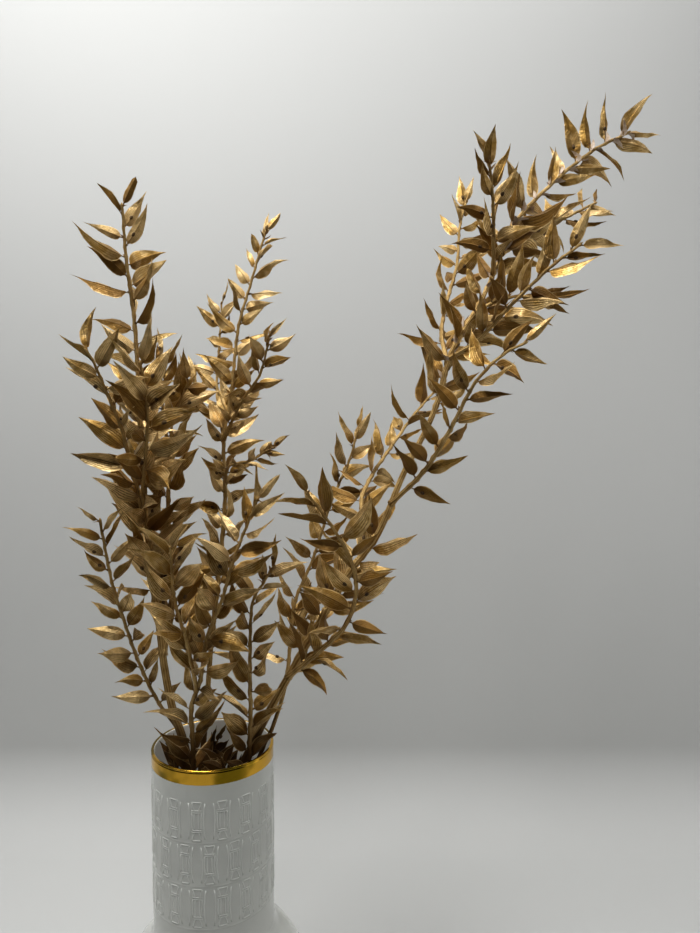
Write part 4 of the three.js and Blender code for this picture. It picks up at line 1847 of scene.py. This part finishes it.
@dataclass(frozen=True)
class TwoTone:
    """Two colours in patches over an unevenly rough surface with a fine relief."""

    name: str
    light: Colour
    dark: Colour
    roughness: Pair
    patch_scale: float
    mottle_scale: float
    relief: Pair
    metallic: float = 0.0
    coat: float = 0.0
    coat_roughness: float = 0.06

    def material(self, effects: Effects) -> bpy.types.Material:
        """Makes the material.

        Args:
            effects: the shared groups.

        Returns:
            The material.
        """
        paint = Paint(self.name, effects, self.patch_scale, self.mottle_scale)
        paint.set("Base Color", paint.patch.mix(self.light, self.dark))
        paint.set("Roughness", paint.mottle.spread(*self.roughness))
        paint.set("Metallic", self.metallic)
        paint.set("Coat Weight", self.coat)
        paint.set("Coat Roughness", self.coat_roughness)
        paint.bump(paint.mottle, *self.relief)
        return paint.made


FLOWER_KNOB = TwoTone(
    "flower_knob", (0.16, 0.095, 0.035), (0.05, 0.028, 0.01), roughness=(0.62, 0.82),
    patch_scale=260.0, mottle_scale=1500.0, relief=(0.15, 0.7), metallic=0.15,
)
AXIL_BROWN = replace(
    FLOWER_KNOB, name="axil_scale", light=(0.46, 0.32, 0.15), dark=(0.22, 0.125, 0.045),
    metallic=0.4,
)
PAPER = replace(
    FLOWER_KNOB, name="papery_bract", light=(0.66, 0.56, 0.46), dark=(0.42, 0.30, 0.20),
    metallic=0.0,
)
GLAZE = TwoTone(
    "white_glaze", (0.615, 0.625, 0.585), (0.565, 0.575, 0.54), roughness=(0.16, 0.26),
    patch_scale=30.0, mottle_scale=220.0, relief=(0.05, 0.3), coat=0.35,
)
OVER_RELIEF = replace(
    GLAZE, name="thin_glaze", light=(0.70, 0.71, 0.67), dark=(0.64, 0.65, 0.615)
)
# Painted light: the inside glaze is much paler than the outside, to stand for the light that falls
# into the mouth.
INSIDE = replace(
    GLAZE, name="inside_glaze_painted_lit", light=(0.90, 0.90, 0.86), dark=(0.84, 0.84, 0.80),
    roughness=(0.3, 0.4),
)


@dataclass(frozen=True)
class Lustre:
    """Gold lustre fired on the glaze: a deep yellow mirror, worn in patches.

    The dark patches are partly wear and partly painted reflection.
    """

    gold: Colour = (0.66, 0.395, 0.055)
    # the dark patches: worn lustre, and painted reflection of the dark room
    worn: Colour = (0.22, 0.15, 0.012)
    worn_range: Pair = (0.25, 0.75)
    roughness: Pair = (0.09, 0.17)
    patch_scale: float = 30.0
    mottle_scale: float = 260.0
    relief: Pair = (0.25, 0.35)

    def material(self, effects: Effects) -> bpy.types.Material:
        """Makes the material.

        Args:
            effects: the shared groups.

        Returns:
            The material.
        """
        paint = Paint("gold_lustre", effects, self.patch_scale, self.mottle_scale)
        # Dark patches of wear and of painted reflection over the gold.
        paint.set("Base Color", paint.patch.ramp(*self.worn_range).mix(self.gold, self.worn))
        paint.set("Roughness", paint.mottle.spread(*self.roughness))
        paint.set("Metallic", 1.0)
        paint.bump(paint.patch, *self.relief)
        return paint.made


# ---------------------------------------------------------------- light, floor and camera


@dataclass(frozen=True)
class Lamp:
    """A soft flat lamp: where it hangs, where it faces, its width and depth, its watts."""

    name: str
    place: Point
    aim: Point
    size: Pair
    power: float

    def build(self) -> None:
        """Adds the lamp to the scene."""
        data = bpy.data.lights.new(self.name, "AREA")
        data.shape = "RECTANGLE"
        data.size, data.size_y = self.size[0] * MM, self.size[1] * MM
        data.energy = self.power
        lamp = bpy.data.objects.new(self.name, data)
        place = Vector(self.place)
        lamp.location = place * MM
        lamp.rotation_euler = (Vector(self.aim) - place).to_track_quat("-Z", "Y").to_euler()
        bpy.context.scene.collection.objects.link(lamp)


@dataclass
class Studio:
    """A pale floor that sweeps up behind, soft light from above and the camera.

    The focal length is in picture points, for the height of the picture given beside it.
    """

    sweep_from: float = -900.0
    sweep_to: float = 346.0
    sweep_radius: float = 85.0
    sweep_half_width: float = 1500.0
    sweep_height: float = 1500.0
    sweep_sunk: float = 0.2
    sweep_steps: int = 17
    paper_colour: Colour = (0.545, 0.548, 0.535)
    paper_roughness: float = 0.8
    room_colour: Colour = (0.95, 0.96, 1.0)
    room_strength: float = 0.035
    lamps: tuple[Lamp, ...] = (
        Lamp("key", (-215, -290, 1270), (10, -30, 400), (560, 280), 8.1),
        Lamp("overhead", (60, 80, 1500), (60, 60, 300), (2500, 560), 7.4),
        Lamp("left_wash", (-470, 150, 1420), (-440, 170, 400), (260, 260), 0.75),
        Lamp("right_wash", (340, 240, 1400), (330, 250, 400), (300, 140), 1.5),
        Lamp("side", (760, -60, 480), (20, 0, 240), (420, 620), 0.85),
    )
    camera_place: Point = (95.0, -476.0, 461.0)
    camera_dip: float = 2.9
    focal_pixels: float = 700.0
    image_height: float = 933.0
    sensor: float = 36.0
    clip: Pair = (0.01, 50.0)

    def floor(self) -> bpy.types.Object:
        """Makes the sweep: a floor, a quarter round and a wall, carried straight across.

        Returns:
            The sweep.
        """
        arc = np.linspace(0, math.pi / 2, self.sweep_steps)
        profile = np.vstack([
            [[self.sweep_from, 0.0]],
            np.stack([
                self.sweep_to - self.sweep_radius * (1 - np.sin(arc)),
                self.sweep_radius * (1 - np.cos(arc)),
            ], axis=1),
            [[self.sweep_to, self.sweep_height]],
        ])
        across = np.array([-self.sweep_half_width, self.sweep_half_width])
        rows = len(profile)
        points = np.stack([
            np.broadcast_to(across, (rows, 2)),
            np.broadcast_to(profile[:, :1], (rows, 2)),
            np.broadcast_to(profile[:, 1:] - self.sweep_sunk, (rows, 2)),
        ], axis=-1)
        row = np.arange(rows - 1)[:, None] * 2
        quads = row + np.array([0, 1, 3, 2])[None]
        skin = Skin("studio_sweep")
        skin.add(points.reshape(-1, 3), quads, np.empty((0, 3), int))
        made = skin.build(self.paper())
        return made

    def paper(self) -> bpy.types.Material:
        """Makes the sweep's pale paper.

        Returns:
            The material, which a camera behind the sweep looks straight through.
        """
        made = bpy.data.materials.new("studio_paper")
        made.use_nodes = True
        tree = made.node_tree
        shading = tree.nodes["Principled BSDF"]
        shading.inputs["Base Color"].default_value = (*self.paper_colour, 1)
        shading.inputs["Roughness"].default_value = self.paper_roughness
        back = Value(add_node(tree, "ShaderNodeNewGeometry").outputs["Backfacing"])
        seen = Value(add_node(tree, "ShaderNodeLightPath").outputs["Is Camera Ray"])
        clear = add_node(tree, "ShaderNodeBsdfTransparent")
        mix = add_node(tree, "ShaderNodeMixShader")
        for start, end in (
            ((back * seen).socket, mix.inputs["Fac"]),
            (shading.outputs["BSDF"], mix.inputs[1]),
            (clear.outputs["BSDF"], mix.inputs[2]),
            (mix.outputs["Shader"], tree.nodes["Material Output"].inputs["Surface"]),
        ):
            tree.links.new(start, end)
        return made

    def light(self) -> None:
        """Lights the scene from above, with a dim grey room all round."""
        scene = bpy.context.scene
        scene.world = bpy.data.worlds.new("room")
        scene.world.use_nodes = True
        room = scene.world.node_tree.nodes["Background"]
        room.inputs["Color"].default_value = (*self.room_colour, 1)
        room.inputs["Strength"].default_value = self.room_strength
        for lamp in self.lamps:
            lamp.build()
        scene.view_settings.view_transform = "Standard"
        scene.view_settings.look = "Medium High Contrast"

    def camera(self) -> None:
        """Sets up the camera, level but for a slight dip, looking along +Y."""
        data = bpy.data.cameras.new("camera")
        data.sensor_width = self.sensor
        data.lens = self.sensor * self.focal_pixels / self.image_height
        data.clip_start, data.clip_end = self.clip
        camera = bpy.data.objects.new("camera", data)
        camera.location = Vector(self.camera_place) * MM
        camera.rotation_euler = (math.radians(90 - self.camera_dip), 0, 0)
        bpy.context.scene.collection.objects.link(camera)
        bpy.context.scene.camera = camera

    def build(self) -> None:
        """Sets up the floor, the lights and the camera."""
        self.floor()
        self.light()
        self.camera()


# ---------------------------------------------------------------- the whole arrangement


def stand_in(piece: bpy.types.Object, node: str, slot: Slot) -> None:
    """Lets a piece stand for a CAD node.

    Args:
        piece: the piece.
        node: the node.
        slot: the record's slot that the piece's finish belongs to; not used.
    """
    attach(piece, "root")
    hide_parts(node)


def main() -> None:
    """Builds the vase, the stems and the studio."""
    logging.basicConfig(level=logging.INFO, format="%(message)s", force=True)
    effects = Effects(patchiness_group(), lines_group())
    ceramic = [finish.material(effects) for finish in (OVER_RELIEF, GLAZE, Lustre(), INSIDE)]
    leaf_paint, stick_paint, knob, brown, paper = (
        finish.material(effects)
        for finish in (GildedLeaf(), GildedStick(), FLOWER_KNOB, AXIL_BROWN, PAPER)
    )
    for piece in Vase().build(*ceramic):
        stand_in(piece, "vase", Slot.GLAZE)
    rules = LeafRules()
    for plan in STEM_PLANS:
        foliage = Foliage(rules, plan.seed, **LEAF_VARIETY.get(plan.node, {}))
        branches = list(grow(plan, rules))
        leaves = [leaf for grown in branches for leaf in grown.leaves]
        scales = [AXIL_SCALE.clasping(leaf) for leaf in leaves]
        for name, grown in zip(plan.branches, branches):
            if name in TUFTED.get(plan.node, ()):
                scales += TIP_SCALE.tuft(grown, TUFT_SCALES)
        pieces = [
            foliage.build(f"{plan.node}_leaves", leaves, leaf_paint, knob),
            Sticks().build(f"{plan.node}_sticks", branches, stick_paint),
            SCALY.build(f"{plan.node}_scales", scales, brown),
        ]
        if plan.node == BRACTED_STEM:
            papery = [leaf for leaf in branches[0].leaves if leaf.growth > BRACTED_FROM]
            bracts = [PAPERY_BRACT.clasping(leaf) for leaf in papery]
            pieces.append(SCALY.build(f"{plan.node}_bracts", bracts, paper))
        for piece in pieces:
            stand_in(piece, plan.node, Slot.GOLD)
    Studio().build()


if __name__ == "__main__":
    main()
